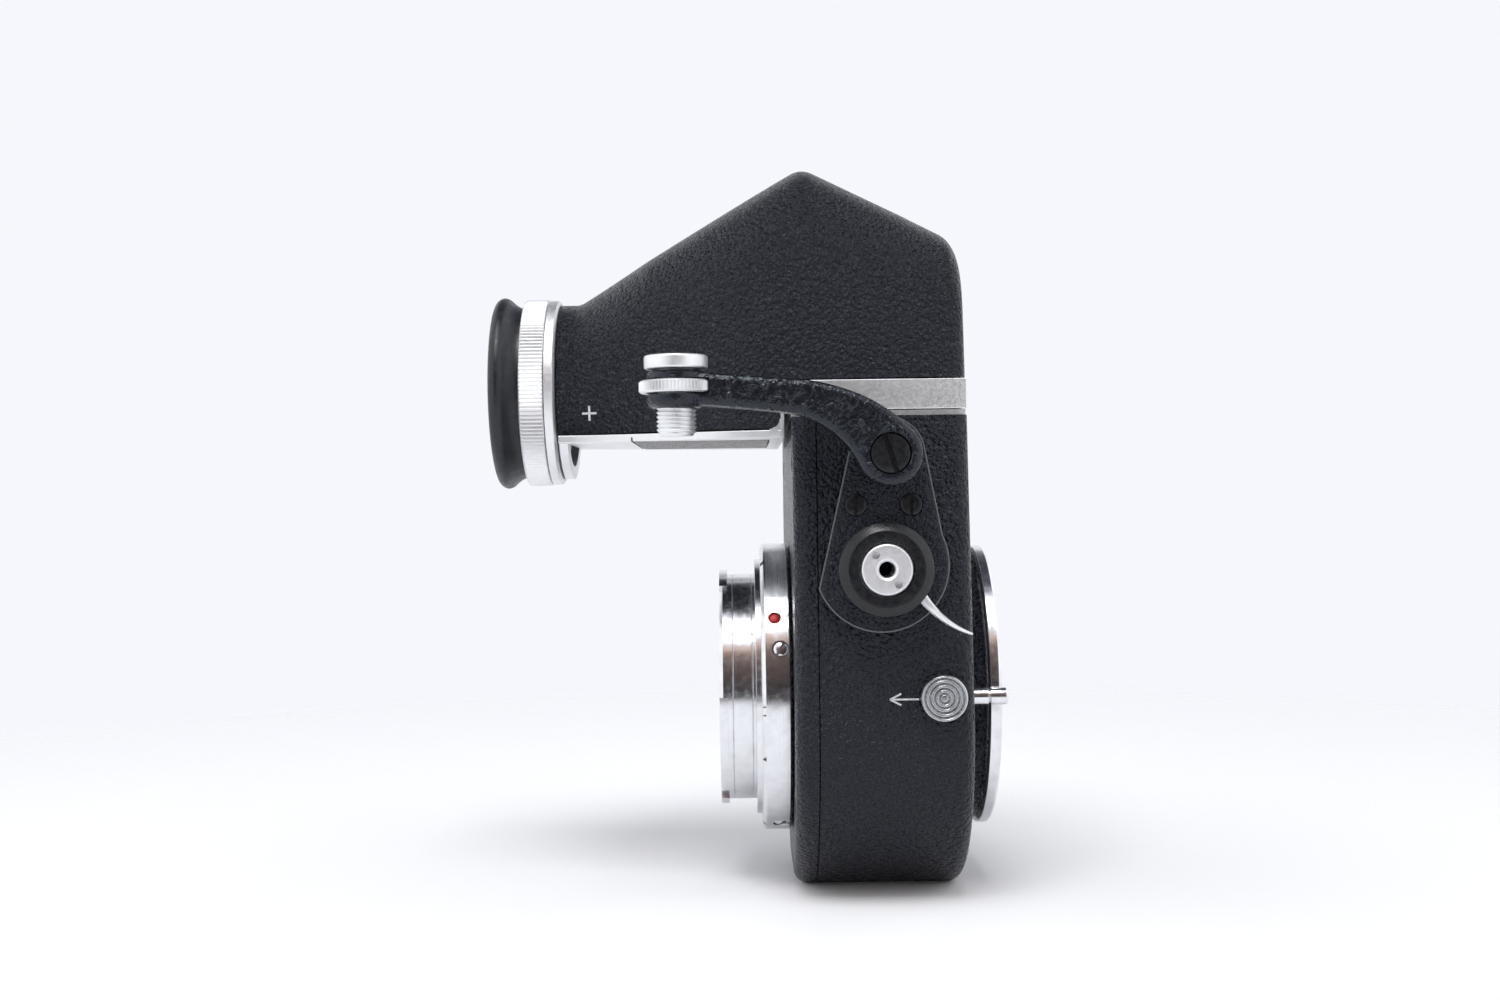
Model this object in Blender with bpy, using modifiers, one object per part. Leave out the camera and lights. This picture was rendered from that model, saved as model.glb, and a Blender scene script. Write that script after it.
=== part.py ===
"""Mirror reflex housing with a 90 degree prism finder, modelled as separate pieces.

All lengths are in millimetres and become metres where a mesh is made.
X runs along the lens axis (+X towards the lens), -Y is the side with the release arm and Z is up.
The origin is the centre of the flat foot.
"""
import math

import bmesh
import bpy
from mathutils import Matrix, Vector

MM = 0.001
GAP = 0.3
COLLECTION_NAME = "mirror_reflex_housing"

# Driving dimensions of the housing.
AXIS_Z = 34.8
LENS_FACE_X = 21.5
FLANGE_TO_FLANGE = 42.1
CAMERA_FACE_X = LENS_FACE_X - FLANGE_TO_FLANGE
HALF_WIDTH = 36.0
BODY_TOP_Z = 82.7
BODY_FRONT_X = 14.65
BODY_REAR_X = -14.2
SEAM_X = -10.5
WALL = 2.7
EDGE_ROUND = 2.5
INNER_FRONT_X = 12.2
INNER_REAR_X = -12.95
FRONT_TAPER = 0.0139
INNER_TOP_Z = 80.2
THROAT_R = 22.0
CAMERA_THROAT_R = 18.7

# Index dot and screw on the side of the camera ring.
DOT_X = -17.3
DOT_Z = 47.95
SIDE_SCREW_X = -16.4
SIDE_SCREW_Z = 42.9

# Mirror.
HINGE_X = -10.6
HINGE_Z = 49.5
HINGE_TO_SURFACE = 2.26
MIRROR_TILT = math.radians(45.0)
SHAFT_R = 1.1
CRANK_RADIUS = 6.8
CRANK_ANGLE = math.radians(-87.0)

# Release arm and its plunger.
PIVOT_X = 1.31
PIVOT_Z = 76.17
PLUNGER_X = -33.1
PLUNGER_Y = -41.0

# Mode lever, lens lock and finder.
MODE_X = 0.67
MODE_Z = 57.4
LOCK_X = 10.16
LOCK_Z = 36.0
LOCK_PIN_Y = -27.3
LOCK_PIN_Z = 35.2
FINDER_HALF_WIDTH = 28.0
EYE_AXIS_Z = 89.55
APEX_X = -11.4
APEX_Z = 128.9
NECK_R = 16.1
COLLAR_BORE_R = 13.65

FINISHES = {
    "black_enamel": ((0.018, 0.018, 0.02), 0.55, 0.0),
    "black_metal": ((0.03, 0.03, 0.032), 0.35, 0.6),
    "matte_black": ((0.01, 0.01, 0.01), 0.9, 0.0),
    "satin_chrome": ((0.72, 0.73, 0.75), 0.32, 1.0),
    "bright_chrome": ((0.82, 0.83, 0.85), 0.12, 1.0),
    "spring_steel": ((0.55, 0.55, 0.56), 0.3, 1.0),
    "brass": ((0.72, 0.52, 0.25), 0.3, 1.0),
    "glass": ((0.75, 0.82, 0.85), 0.05, 0.0),
    "mirror_silver": ((0.9, 0.91, 0.92), 0.03, 1.0),
    "ground_glass": ((0.8, 0.82, 0.82), 0.7, 0.0),
    "red_enamel": ((0.6, 0.02, 0.02), 0.3, 0.0),
    "black_plastic": ((0.02, 0.022, 0.026), 0.5, 0.0),
}

# Axis frames: the columns are where a mesh's own x, y and z point.
ALONG_X = Matrix(((0, 0, 1), (1, 0, 0), (0, 1, 0)))
ALONG_MINUS_Y = Matrix(((1, 0, 0), (0, 0, -1), (0, 1, 0)))
ALONG_Z = Matrix.Identity(3)


def clear_scene():
    for obj in list(bpy.data.objects):
        bpy.data.objects.remove(obj, do_unlink=True)


def new_collection(name):
    collection = bpy.data.collections.new(name)
    bpy.context.scene.collection.children.link(collection)
    return collection


def finish_material(finish):
    name = "finish_" + finish
    if name in bpy.data.materials:
        return bpy.data.materials[name]
    colour, roughness, metallic = FINISHES[finish]
    material = bpy.data.materials.new(name)
    material.use_nodes = True
    shader = material.node_tree.nodes["Principled BSDF"]
    shader.inputs["Base Color"].default_value = (*colour, 1.0)
    shader.inputs["Roughness"].default_value = roughness
    shader.inputs["Metallic"].default_value = metallic
    return material


def place(name, mesh, finish, origin=(0, 0, 0), frame=ALONG_Z):
    """Make an object from a mesh in millimetres; a finish of None makes it a cutter."""
    mesh.transform(Matrix.Scale(MM, 4))
    obj = bpy.data.objects.new(name, mesh)
    obj.matrix_world = Matrix.Translation(Vector(origin) * MM) @ frame.to_4x4()
    if finish is None:
        cutters.objects.link(obj)
        obj.hide_render = True
        obj.display_type = "WIRE"
        return obj
    parts.objects.link(obj)
    mesh.materials.append(finish_material(finish))
    mesh.shade_smooth()
    mesh.set_sharp_from_angle(angle=math.radians(35))
    return obj


def mesh_from_bmesh(name, bm):
    bmesh.ops.recalc_face_normals(bm, faces=bm.faces)
    mesh = bpy.data.meshes.new(name)
    bm.to_mesh(mesh)
    bm.free()
    return mesh


def box(name, low, high, finish=None, rounding=0.0, segments=2):
    """A block between two corners, with all its edges rounded where asked."""
    centre = [(a + b) / 2 for a, b in zip(low, high)]
    size = [b - a for a, b in zip(low, high)]
    bm = bmesh.new()
    bmesh.ops.create_cube(bm, size=1.0, matrix=Matrix.Diagonal((*size, 1.0)))
    if rounding:
        bmesh.ops.bevel(bm, geom=bm.edges[:], offset=rounding, segments=segments,
                        profile=0.5, affect="EDGES", clamp_overlap=True)
    return place(name, mesh_from_bmesh(name, bm), finish, centre)


def cylinder(name, radius, start, end, centre, frame=ALONG_Z, finish=None, steps=24):
    """A cylinder from start to end along its frame's axis, measured from centre."""
    bm = bmesh.new()
    bmesh.ops.create_cone(bm, cap_ends=True, segments=steps, radius1=radius, radius2=radius,
                          depth=end - start, matrix=Matrix.Translation((0, 0, (start + end) / 2)))
    return place(name, mesh_from_bmesh(name, bm), finish, centre, frame)


def turned(name, profile, centre, frame, finish, steps=32):
    """A turned piece: (radius, height) points down the outer side, then up the inner one."""
    bm = bmesh.new()
    verts = [bm.verts.new((radius, 0, height)) for radius, height in profile]
    for first, second in zip(verts, verts[1:]):
        bm.edges.new((first, second))
    touches_axis = profile[0][0] == 0 and profile[-1][0] == 0
    if not touches_axis:
        bm.edges.new((verts[-1], verts[0]))
    mesh = bpy.data.meshes.new(name)
    bm.to_mesh(mesh)
    bm.free()
    obj = place(name, mesh, finish, centre, frame)
    screw = obj.modifiers.new("turn", "SCREW")
    screw.steps = steps
    screw.render_steps = steps
    screw.use_merge_vertices = True
    screw.merge_threshold = 0.00001
    return obj


def plate(name, outline, start, end, frame, finish, origin=(0, 0, 0)):
    """A flat outline in a frame's own x and y, as a solid from start to end along its z."""
    curve = bpy.data.curves.new(name, "CURVE")
    curve.dimensions = "2D"
    curve.fill_mode = "BOTH"
    curve.extrude = (end - start) / 2
    spline = curve.splines.new("POLY")
    spline.points.add(len(outline) - 1)
    for point, (x, y) in zip(spline.points, outline):
        point.co = (x, y, 0, 1)
    spline.use_cyclic_u = True
    holder = bpy.data.objects.new(name + "_outline", curve)
    bpy.context.scene.collection.objects.link(holder)
    graph = bpy.context.evaluated_depsgraph_get()
    mesh = bpy.data.meshes.new_from_object(holder.evaluated_get(graph))
    bpy.data.objects.remove(holder, do_unlink=True)
    bm = bmesh.new()
    bm.from_mesh(mesh)
    bmesh.ops.remove_doubles(bm, verts=bm.verts, dist=0.0001)
    bmesh.ops.translate(bm, verts=bm.verts, vec=(0, 0, (start + end) / 2))
    bmesh.ops.dissolve_limit(bm, angle_limit=0.001, verts=bm.verts, edges=bm.edges)
    return place(name, mesh_from_bmesh(name, bm), finish, origin, frame)


def wire(name, points, radius, finish, frame=ALONG_Z, origin=(0, 0, 0)):
    """A round wire with closed ends along a list of points."""
    curve = bpy.data.curves.new(name, "CURVE")
    curve.dimensions = "3D"
    curve.bevel_depth = radius * MM
    curve.bevel_resolution = 0
    curve.use_fill_caps = True
    spline = curve.splines.new("POLY")
    spline.points.add(len(points) - 1)
    for point, place_mm in zip(spline.points, points):
        point.co = (*(Vector(place_mm) * MM), 1)
    obj = bpy.data.objects.new(name, curve)
    obj.matrix_world = Matrix.Translation(Vector(origin) * MM) @ frame.to_4x4()
    curve.materials.append(finish_material(finish))
    parts.objects.link(obj)
    return obj


def boolean(obj, operation, others):
    for other in others:
        modifier = obj.modifiers.new(operation.lower() + "_" + other.name, "BOOLEAN")
        modifier.operation = operation
        modifier.object = other
        modifier.solver = "EXACT"
    return obj


def cut(obj, *others):
    return boolean(obj, "DIFFERENCE", others)


def join(obj, *others):
    return boolean(obj, "UNION", others)


def arc(centre, radius, first_deg, last_deg, count):
    """Points along an arc, both ends included."""
    cx, cy = centre
    angles = [math.radians(first_deg + (last_deg - first_deg) * i / count) for i in range(count + 1)]
    return [(cx + radius * math.cos(a), cy + radius * math.sin(a)) for a in angles]


def quadratic(start, control, end, count):
    """Points along a bent edge, without its last point."""
    points = []
    for i in range(count):
        t = i / count
        weights = ((1 - t) ** 2, 2 * t * (1 - t), t ** 2)
        points.append(tuple(weights[0] * a + weights[1] * b + weights[2] * c
                            for a, b, c in zip(start, control, end)))
    return points


def rounded_rectangle(low, high, radius):
    """A rectangle's outline with its four corners rounded."""
    corners = ((high[0], high[1], 0), (low[0], high[1], 90), (low[0], low[1], 180), (high[0], low[1], 270))
    outline = []
    for x, y, angle in corners:
        centre = (x - math.copysign(radius, x - (low[0] + high[0]) / 2),
                  y - math.copysign(radius, y - (low[1] + high[1]) / 2))
        outline += arc(centre, radius, angle, angle + 90, 4)
    return outline


def housing_outline(inset, foot_z, top_z, count=24):
    """The housing's U shape in Y and Z: two sides, a round bottom and a flat foot."""
    radius = HALF_WIDTH - inset
    foot_angle = math.degrees(math.asin((AXIS_Z - foot_z) / radius))
    half = count // 2
    left = arc((0, AXIS_Z), radius, 180, 180 + foot_angle, half)
    right = arc((0, AXIS_Z), radius, 360 - foot_angle, 360, half)
    return [(-radius, top_z)] + left + right + [(radius, top_z)]


def round_face_edges(obj, face_x, rounding):
    """Round the edges of the flat face at face_x, except along the top of the housing."""
    bm = bmesh.new()
    bm.from_mesh(obj.data)
    near = 0.0001
    edges = []
    for edge in bm.edges:
        ends = [obj.matrix_world @ v.co for v in edge.verts]
        on_face = all(abs(p.x - face_x * MM) < near for p in ends)
        on_top = all(abs(p.z - BODY_TOP_Z * MM) < near for p in ends)
        if on_face and not on_top:
            edges.append(edge)
    bmesh.ops.bevel(bm, geom=edges, offset=rounding * MM, segments=3, profile=0.5, affect="EDGES")
    bm.to_mesh(obj.data)
    bm.free()
    return obj


def taper_front(obj):
    """Lean the casting's flat front outwards towards the foot."""
    for vertex in obj.data.vertices:
        place_m = obj.matrix_world @ vertex.co
        if place_m.x > 0:
            place_m.x += 0.3 * MM + (BODY_TOP_Z * MM - place_m.z) * FRONT_TAPER
            vertex.co = obj.matrix_world.inverted() @ place_m


def screw(name, head_r, head_height, shank_r, shank_length, face, frame, finish, slot_deg=0.0):
    """A slotted screw whose head rises from face; its shank runs the other way."""
    chamfer = head_r * 0.12
    profile = [(0, head_height), (head_r - chamfer, head_height), (head_r, head_height - chamfer),
               (head_r, 0), (shank_r, 0), (shank_r, -shank_length), (0, -shank_length)]
    obj = turned(name, profile, face, frame, finish, steps=12)
    slot_w = head_r * 0.13
    bm = bmesh.new()
    turn = Matrix.Rotation(math.radians(slot_deg), 4, "Z")
    shift = Matrix.Translation((0, 0, head_height))
    size = Matrix.Diagonal((head_r * 2.6, slot_w * 2, head_height * 0.8, 1))
    bmesh.ops.create_cube(bm, size=1.0, matrix=shift @ turn @ size)
    return cut(obj, place(name + "_slot", mesh_from_bmesh(name + "_slot", bm), None, face, frame))


# ---------------------------------------------------------------- housing

def build_housing():
    casting = plate("body_casting", housing_outline(0, 0, BODY_TOP_Z), SEAM_X + GAP, BODY_FRONT_X,
                    ALONG_X, "black_enamel")
    round_face_edges(casting, BODY_FRONT_X, EDGE_ROUND)
    taper_front(casting)
    boss = cylinder("lens_boss", 24.75, 13.0, 18.85, (0, 0, AXIS_Z), ALONG_X, steps=48)
    chamber = plate("housing_hollow", housing_outline(WALL, WALL, INNER_TOP_Z), -20, INNER_FRONT_X,
                    ALONG_X, None)
    throat = cylinder("lens_throat", THROAT_R, 11, 20, (0, 0, AXIS_Z), ALONG_X, steps=48)
    window = box("top_window", (-9.5, -17.5, 79), (11.5, 17.5, 84))
    pin_hole = cylinder("pin_hole", 1.75, 11, 20, (0, LOCK_PIN_Y, LOCK_PIN_Z), ALONG_X, steps=16)
    button_slot = box("button_slot", (6.4, -38, LOCK_Z - 1.45), (LOCK_X + 1.45, -32, LOCK_Z + 1.45))
    arm_hole = cylinder("arm_shaft_hole", 2.9, 30, 40, (PIVOT_X, 0, PIVOT_Z), ALONG_MINUS_Y)
    mode_hole = cylinder("mode_socket_hole", 2.5, 30, 40, (MODE_X, 0, MODE_Z), ALONG_MINUS_Y)
    join(casting, boss)
    cut(casting, chamber, throat, window, pin_hole, button_slot, arm_hole, mode_hole)
    for index, (y, z) in enumerate(lens_screw_places()):
        hole = cylinder(f"lens_screw_hole_{index}", 1.1, 16.5, 20, (0, y, z), ALONG_X, steps=12)
        cut(casting, hole)

    cover = plate("rear_cover", housing_outline(0, 0, BODY_TOP_Z), BODY_REAR_X, SEAM_X,
                  ALONG_X, "black_enamel")
    round_face_edges(cover, BODY_REAR_X, EDGE_ROUND)
    recess = plate("cover_recess", housing_outline(WALL, WALL, INNER_TOP_Z), INNER_REAR_X, -5,
                   ALONG_X, None)
    opening = cylinder("cover_opening", CAMERA_THROAT_R, -16, -12, (0, 0, AXIS_Z), ALONG_X, steps=48)
    cut(cover, recess, opening)
    for index, (y, z) in enumerate(cover_screw_places()):
        post = cylinder(f"cover_post_{index}", 3.0, BODY_REAR_X + 0.5, SEAM_X, (0, y, z), ALONG_X)
        join(cover, post)
        hole = cylinder(f"cover_hole_{index}", 1.0, -16, -9, (0, y, z), ALONG_X, steps=12)
        seat = cylinder(f"cover_seat_{index}", 1.9, -16, BODY_REAR_X + 1.2, (0, y, z), ALONG_X)
        cut(cover, hole, seat)
        screw(f"rear_cover_screw_{index + 1}", 1.6, 0.7, 0.7, 2.2, (BODY_REAR_X + 0.9, y, z),
              Matrix.Rotation(math.pi, 3, "Z") @ ALONG_X, "black_metal", 20 + 50 * index)

    inner_r = 20.5
    outer_r = 21.7
    liner_top = 79.9
    outline = ([(-outer_r, liner_top)] + arc((0, AXIS_Z), outer_r, 180, 360, 28)
               + [(outer_r, liner_top), (inner_r, liner_top)]
               + arc((0, AXIS_Z), inner_r, 0, -180, 28) + [(-inner_r, liner_top)])
    chamber_liner = plate("mirror_chamber", outline, -12.65, 11.9, ALONG_X, "matte_black")
    shaft_holes = cylinder("liner_shaft_holes", SHAFT_R + 0.4, -25, 25, (HINGE_X, 0, HINGE_Z),
                           ALONG_MINUS_Y, steps=16)
    cut(chamber_liner, shaft_holes)


def lens_screw_places():
    return [(23.75 * math.cos(math.radians(a)), AXIS_Z + 23.75 * math.sin(math.radians(a)))
            for a in (45, 135, 225, 315)]


def cover_screw_places():
    return [(-29.5, 75.5), (29.5, 75.5), (-24.5, 16.0), (24.5, 16.0)]


# ---------------------------------------------------------------- camera and lens mounts

def sector(inner_r, outer_r, middle_deg, half_deg, count=8):
    outer = arc((0, 0), outer_r, middle_deg - half_deg, middle_deg + half_deg, count)
    inner = arc((0, 0), inner_r, middle_deg + half_deg, middle_deg - half_deg, count)
    return outer + inner


def build_mounts():
    centre = (0, 0, AXIS_Z)
    front = BODY_REAR_X - GAP
    step = CAMERA_FACE_X + 1.0
    floor = CAMERA_FACE_X + 3.1
    ring = turned("camera_flange_ring",
                  [(26.0, front), (26.3, front - 0.4), (26.3, step + 0.5), (25.8, step), (23.4, step),
                   (23.4, CAMERA_FACE_X), (21.0, CAMERA_FACE_X), (21.0, floor), (CAMERA_THROAT_R, floor),
                   (CAMERA_THROAT_R, front)], centre, ALONG_X,
                  "bright_chrome", steps=48)
    dot_y = -math.sqrt(25.0 ** 2 - (DOT_Z - AXIS_Z) ** 2)
    screw_y = -math.sqrt(24.4 ** 2 - (SIDE_SCREW_Z - AXIS_Z) ** 2)
    dot_frame = radial_frame(dot_y, DOT_Z - AXIS_Z)
    screw_frame = radial_frame(screw_y, SIDE_SCREW_Z - AXIS_Z)
    dot_seat = cylinder("dot_seat", 1.35, 0, 4, (DOT_X, dot_y, DOT_Z), dot_frame, steps=16)
    screw_seat = cylinder("screw_seat", 1.65, 0, 4, (SIDE_SCREW_X, screw_y, SIDE_SCREW_Z), screw_frame,
                          steps=16)
    cut(ring, dot_seat, screw_seat)
    turned("flange_index_dot", [(0, 1.35), (0.6, 1.3), (1.0, 1.1), (1.0, GAP), (0, GAP)],
           (DOT_X, dot_y, DOT_Z), dot_frame, "red_enamel", steps=16)
    screw("flange_side_screw", 1.3, 1.3, 0.6, 0.1,
          (SIDE_SCREW_X, *offset_point(screw_y, SIDE_SCREW_Z, 0.45)), screw_frame, "bright_chrome", 90)

    tube = turned("camera_bayonet",
                  [(20.7, floor - GAP), (20.7, -26.5), (20.2, -27.0), (18.9, -27.0), (18.4, -26.5),
                   (18.4, floor - GAP)],
                  centre, ALONG_X, "bright_chrome", steps=48)
    for index, (angle, half_deg) in enumerate(((197, 17), (100, 18), (10, 17), (262, 18))):
        lug = plate(f"bayonet_lug_{index}", sector(19.5, 21.5, angle, half_deg), -27.0, -25.6,
                    ALONG_X, None, centre)
        join(tube, lug)

    flange = turned("lens_flange_ring",
                    [(25.1, LENS_FACE_X), (25.5, LENS_FACE_X - 0.4), (25.5, 19.15), (THROAT_R, 19.15),
                     (THROAT_R, LENS_FACE_X)], centre, ALONG_X, "bright_chrome", steps=48)
    for index, angle in enumerate((90, 210, 330)):
        tab = plate(f"flange_tab_{index}", sector(20.7, 22.6, angle, 26), 19.15, 20.4,
                    ALONG_X, None, centre)
        join(flange, tab)
    for index, (y, z) in enumerate(lens_screw_places()):
        head_seat = cylinder(f"head_seat_{index}", 1.5, 20.6, 23, (0, y, z), ALONG_X, steps=16)
        hole = cylinder(f"flange_hole_{index}", 1.1, 18, 21, (0, y, z), ALONG_X, steps=12)
        cut(flange, head_seat, hole)
        screw(f"lens_flange_screw_{index + 1}", 1.2, 0.5, 0.75, 3.8, (20.9, y, z), ALONG_X,
              "bright_chrome", 30 + 80 * index)
    turned("bayonet_spring", [(21.7, 18.4), (21.7, 17.9), (20.95, 17.9), (20.95, 18.4)],
           centre, ALONG_X, "spring_steel", steps=32)


def radial_frame(y, z):
    """A frame whose z points away from the lens axis through the point (y, z)."""
    outward = Vector((0, y, z)).normalized()
    along = Vector((1, 0, 0))
    side = outward.cross(along)
    return Matrix((along, side, outward)).transposed()


def offset_point(y, z, distance):
    """The point moved away from the lens axis by a distance."""
    outward = Vector((y, z - AXIS_Z)).normalized() * distance
    return (y + outward.x, z + outward.y)


# ---------------------------------------------------------------- mirror

def mirror_point(along, depth):
    """A point in X and Z, along the mirror from its hinge and behind its surface."""
    c = math.cos(MIRROR_TILT)
    s = math.sin(MIRROR_TILT)
    off = HINGE_TO_SURFACE + depth
    return (along * c - off * s, -along * s - off * c)


def mirror_slab(name, along, half_width, depth, finish, corner):
    """A slab parallel to the mirror's surface, its outline clipped at the far corners."""
    frame = Matrix.Rotation(MIRROR_TILT, 3, "Y")
    (start, end), (top, bottom) = along, depth
    outline = [(start, -half_width), (end - corner, -half_width), (end, -half_width + corner),
               (end, half_width - corner), (end - corner, half_width), (start, half_width)]
    return plate(name, outline, -HINGE_TO_SURFACE - bottom, -HINGE_TO_SURFACE - top, frame,
                 finish, (HINGE_X, 0, HINGE_Z))


def build_mirror():
    hinge = (HINGE_X, 0, HINGE_Z)
    mirror_slab("mirror_glass", (3.0, 29.4), 16.0, (0.0, 1.6), "mirror_silver", 2.5)
    holder = mirror_slab("mirror_holder", (2.8, 29.6), 16.9, (1.9, 3.0), "matte_black", 3.0)
    ear = arc((0, 0), 2.05, 15, 200, 8) + [mirror_point(3.2, 2.9), mirror_point(13, 2.9),
                                          mirror_point(13, 1.0), mirror_point(4.5, 0.0)]
    for side, start in (("left", 16.4), ("right", -17.6)):
        ear_plate = plate(f"holder_ear_{side}", ear, start, start + 1.2, ALONG_MINUS_Y, None, hinge)
        join(holder, ear_plate)
    bore = cylinder("holder_bore", SHAFT_R + GAP, -25, 25, hinge, ALONG_MINUS_Y, steps=16)
    cut(holder, bore)
    cylinder("mirror_shaft", SHAFT_R, -23.5, 27.7, hinge, ALONG_MINUS_Y, "spring_steel", steps=16)

    pin = (CRANK_RADIUS * math.cos(CRANK_ANGLE), CRANK_RADIUS * math.sin(CRANK_ANGLE))
    pin_deg = math.degrees(CRANK_ANGLE)
    hub = arc((0, 0), 2.15, pin_deg + 100, pin_deg + 260, 8)
    outline = hub + arc(pin, 1.5, pin_deg - 80, pin_deg + 80, 6)
    crank = plate("mirror_crank", outline, 26.0, 27.4, ALONG_MINUS_Y, "spring_steel", hinge)
    crank_pin = cylinder("crank_pin_stub", 0.6, 26.5, 30.6,
                         (HINGE_X + pin[0], 0, HINGE_Z + pin[1]), ALONG_MINUS_Y, steps=16)
    join(crank, crank_pin)
    crank_bore = cylinder("crank_bore", SHAFT_R + GAP, 20, 28, hinge, ALONG_MINUS_Y, steps=16)
    cut(crank, crank_bore)
    wire("mirror_return_spring", helix(1.9, 22.3, 25.6, 4), 0.22, "spring_steel",
         ALONG_MINUS_Y, hinge)
    stop_x, stop_z = mirror_point(20.0, 3.0)
    cylinder("mirror_stop", 1.2, 15.5, 19.5, (HINGE_X + stop_x - 1.2, 0, HINGE_Z + stop_z - 1.2),
             ALONG_MINUS_Y, "brass", steps=16)


def helix(radius, start, end, turns, per_turn=8):
    count = turns * per_turn
    points = []
    for i in range(count + 1):
        angle = 2 * math.pi * i / per_turn
        height = start + (end - start) * i / count
        points.append((radius * math.cos(angle), radius * math.sin(angle), height))
    return points


# ---------------------------------------------------------------- release arm

def arm_outline():
    """The arm in X and Z, from its round head back to the fork."""
    head = (PIVOT_X, PIVOT_Z)
    fork_x = PLUNGER_X + 1.5
    upper = quadratic((fork_x, 89.8), (-19.0, 88.9), (-12.0, 88.2), 3)
    upper += quadratic((-12.0, 88.2), (-1.5, 86.5), (4.4, 80.4), 5)
    turn = arc(head, 5.3, 50, -118, 12)
    lower = quadratic((-3.0, 73.0), (-6.0, 80.5), (-14.0, 82.8), 5)
    lower += quadratic((-14.0, 82.8), (-22.0, 83.9), (fork_x, 84.5), 3)
    return upper + turn + lower + [(fork_x, 84.5)]


def build_arm():
    near = 44.4
    far = 38.7
    arm = plate("release_arm", arm_outline(), far, near, ALONG_MINUS_Y, "black_metal")
    fork_profile = [(0, 90.0), (4.2, 90.0), (4.9, 89.3), (4.9, 85.0), (4.0, 83.9), (0, 83.9)]
    fork_head = turned("fork_head", fork_profile, (PLUNGER_X, PLUNGER_Y, 0), ALONG_Z, None, steps=24)
    join(arm, fork_head)
    wheel_room = cylinder("wheel_room", 6.4, 86.1, 88.75, (PLUNGER_X, PLUNGER_Y, 0), steps=32)
    spindle_bore = cylinder("spindle_bore", 3.55, 80, 93, (PLUNGER_X, PLUNGER_Y, 0), steps=28)
    screw_seat = cylinder("pivot_screw_seat", 3.6, 42.9, 46, (PIVOT_X, 0, PIVOT_Z), ALONG_MINUS_Y)
    shaft_bore = cylinder("arm_shaft_bore", 2.5, 36, 41.6, (PIVOT_X, 0, PIVOT_Z), ALONG_MINUS_Y)
    screw_bore = cylinder("arm_screw_bore", 1.6, 41, 43.5, (PIVOT_X, 0, PIVOT_Z), ALONG_MINUS_Y)
    cut(arm, wheel_room, spindle_bore, screw_seat, shaft_bore, screw_bore)
    screw("arm_pivot_screw", 3.3, 1.1, 1.2, 3.6, (PIVOT_X, -43.2, PIVOT_Z), ALONG_MINUS_Y,
          "black_metal", -72)
    shaft = cylinder("arm_shaft", 2.2, 27.2, 41.3, (PIVOT_X, 0, PIVOT_Z), ALONG_MINUS_Y,
                     "spring_steel", steps=20)
    cut(shaft, cylinder("arm_shaft_tap", 1.5, 38.9, 43, (PIVOT_X, 0, PIVOT_Z), ALONG_MINUS_Y, steps=16))

    pin = Vector((HINGE_X + CRANK_RADIUS * math.cos(CRANK_ANGLE) - PIVOT_X,
                  HINGE_Z + CRANK_RADIUS * math.sin(CRANK_ANGLE) - PIVOT_Z))
    reach = pin.length
    lean = math.degrees(math.atan2(pin.y, pin.x)) + 90
    fork_half = 2.1
    slot_half = 1.2
    fork_end = -reach - 0.8
    slot_end = -reach + 4.6
    outline = (arc((0, 0), 4.0, -20, 200, 12)
               + [(-fork_half, slot_end + 4), (-fork_half, fork_end), (-slot_half, fork_end),
                  (-slot_half, slot_end), (slot_half, slot_end), (slot_half, fork_end),
                  (fork_half, fork_end), (fork_half, slot_end + 4)])
    frame = ALONG_MINUS_Y @ Matrix.Rotation(math.radians(lean), 3, "Z")
    lever = plate("trip_lever", outline, 28.4, 30.0, frame, "spring_steel", (PIVOT_X, 0, PIVOT_Z))
    cut(lever, cylinder("trip_lever_bore", 2.2 + GAP, 27, 32, (PIVOT_X, 0, PIVOT_Z), ALONG_MINUS_Y,
                        steps=20))
    wire("arm_return_spring", helix(3.4, 30.9, 32.6, 3), 0.25, "spring_steel", ALONG_MINUS_Y,
         (PIVOT_X, 0, PIVOT_Z))

    turned("adjusting_wheel", [(3.55, 88.45), (5.8, 88.45), (6.05, 88.2), (6.05, 86.65), (5.8, 86.4),
                               (3.55, 86.4)], (PLUNGER_X, PLUNGER_Y, 0), ALONG_Z, "satin_chrome", steps=32)
    spindle_profile = [(0, 90.75), (2.4, 90.75), (2.4, 90.0), (3.23, 89.6), (3.23, 80.1), (2.6, 79.46),
                       (0, 79.46)]
    turned("plunger_spindle", spindle_profile, (PLUNGER_X, PLUNGER_Y, 0), ALONG_Z, "satin_chrome", steps=20)
    turned("plunger_head", [(0, 92.55), (4.8, 92.55), (5.2, 92.15), (5.2, 90.3), (2.75, 90.3),
                            (2.75, 91.05), (0, 91.05)], (PLUNGER_X, PLUNGER_Y, 0), ALONG_Z,
           "satin_chrome", steps=28)


# ---------------------------------------------------------------- side mechanism

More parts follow.
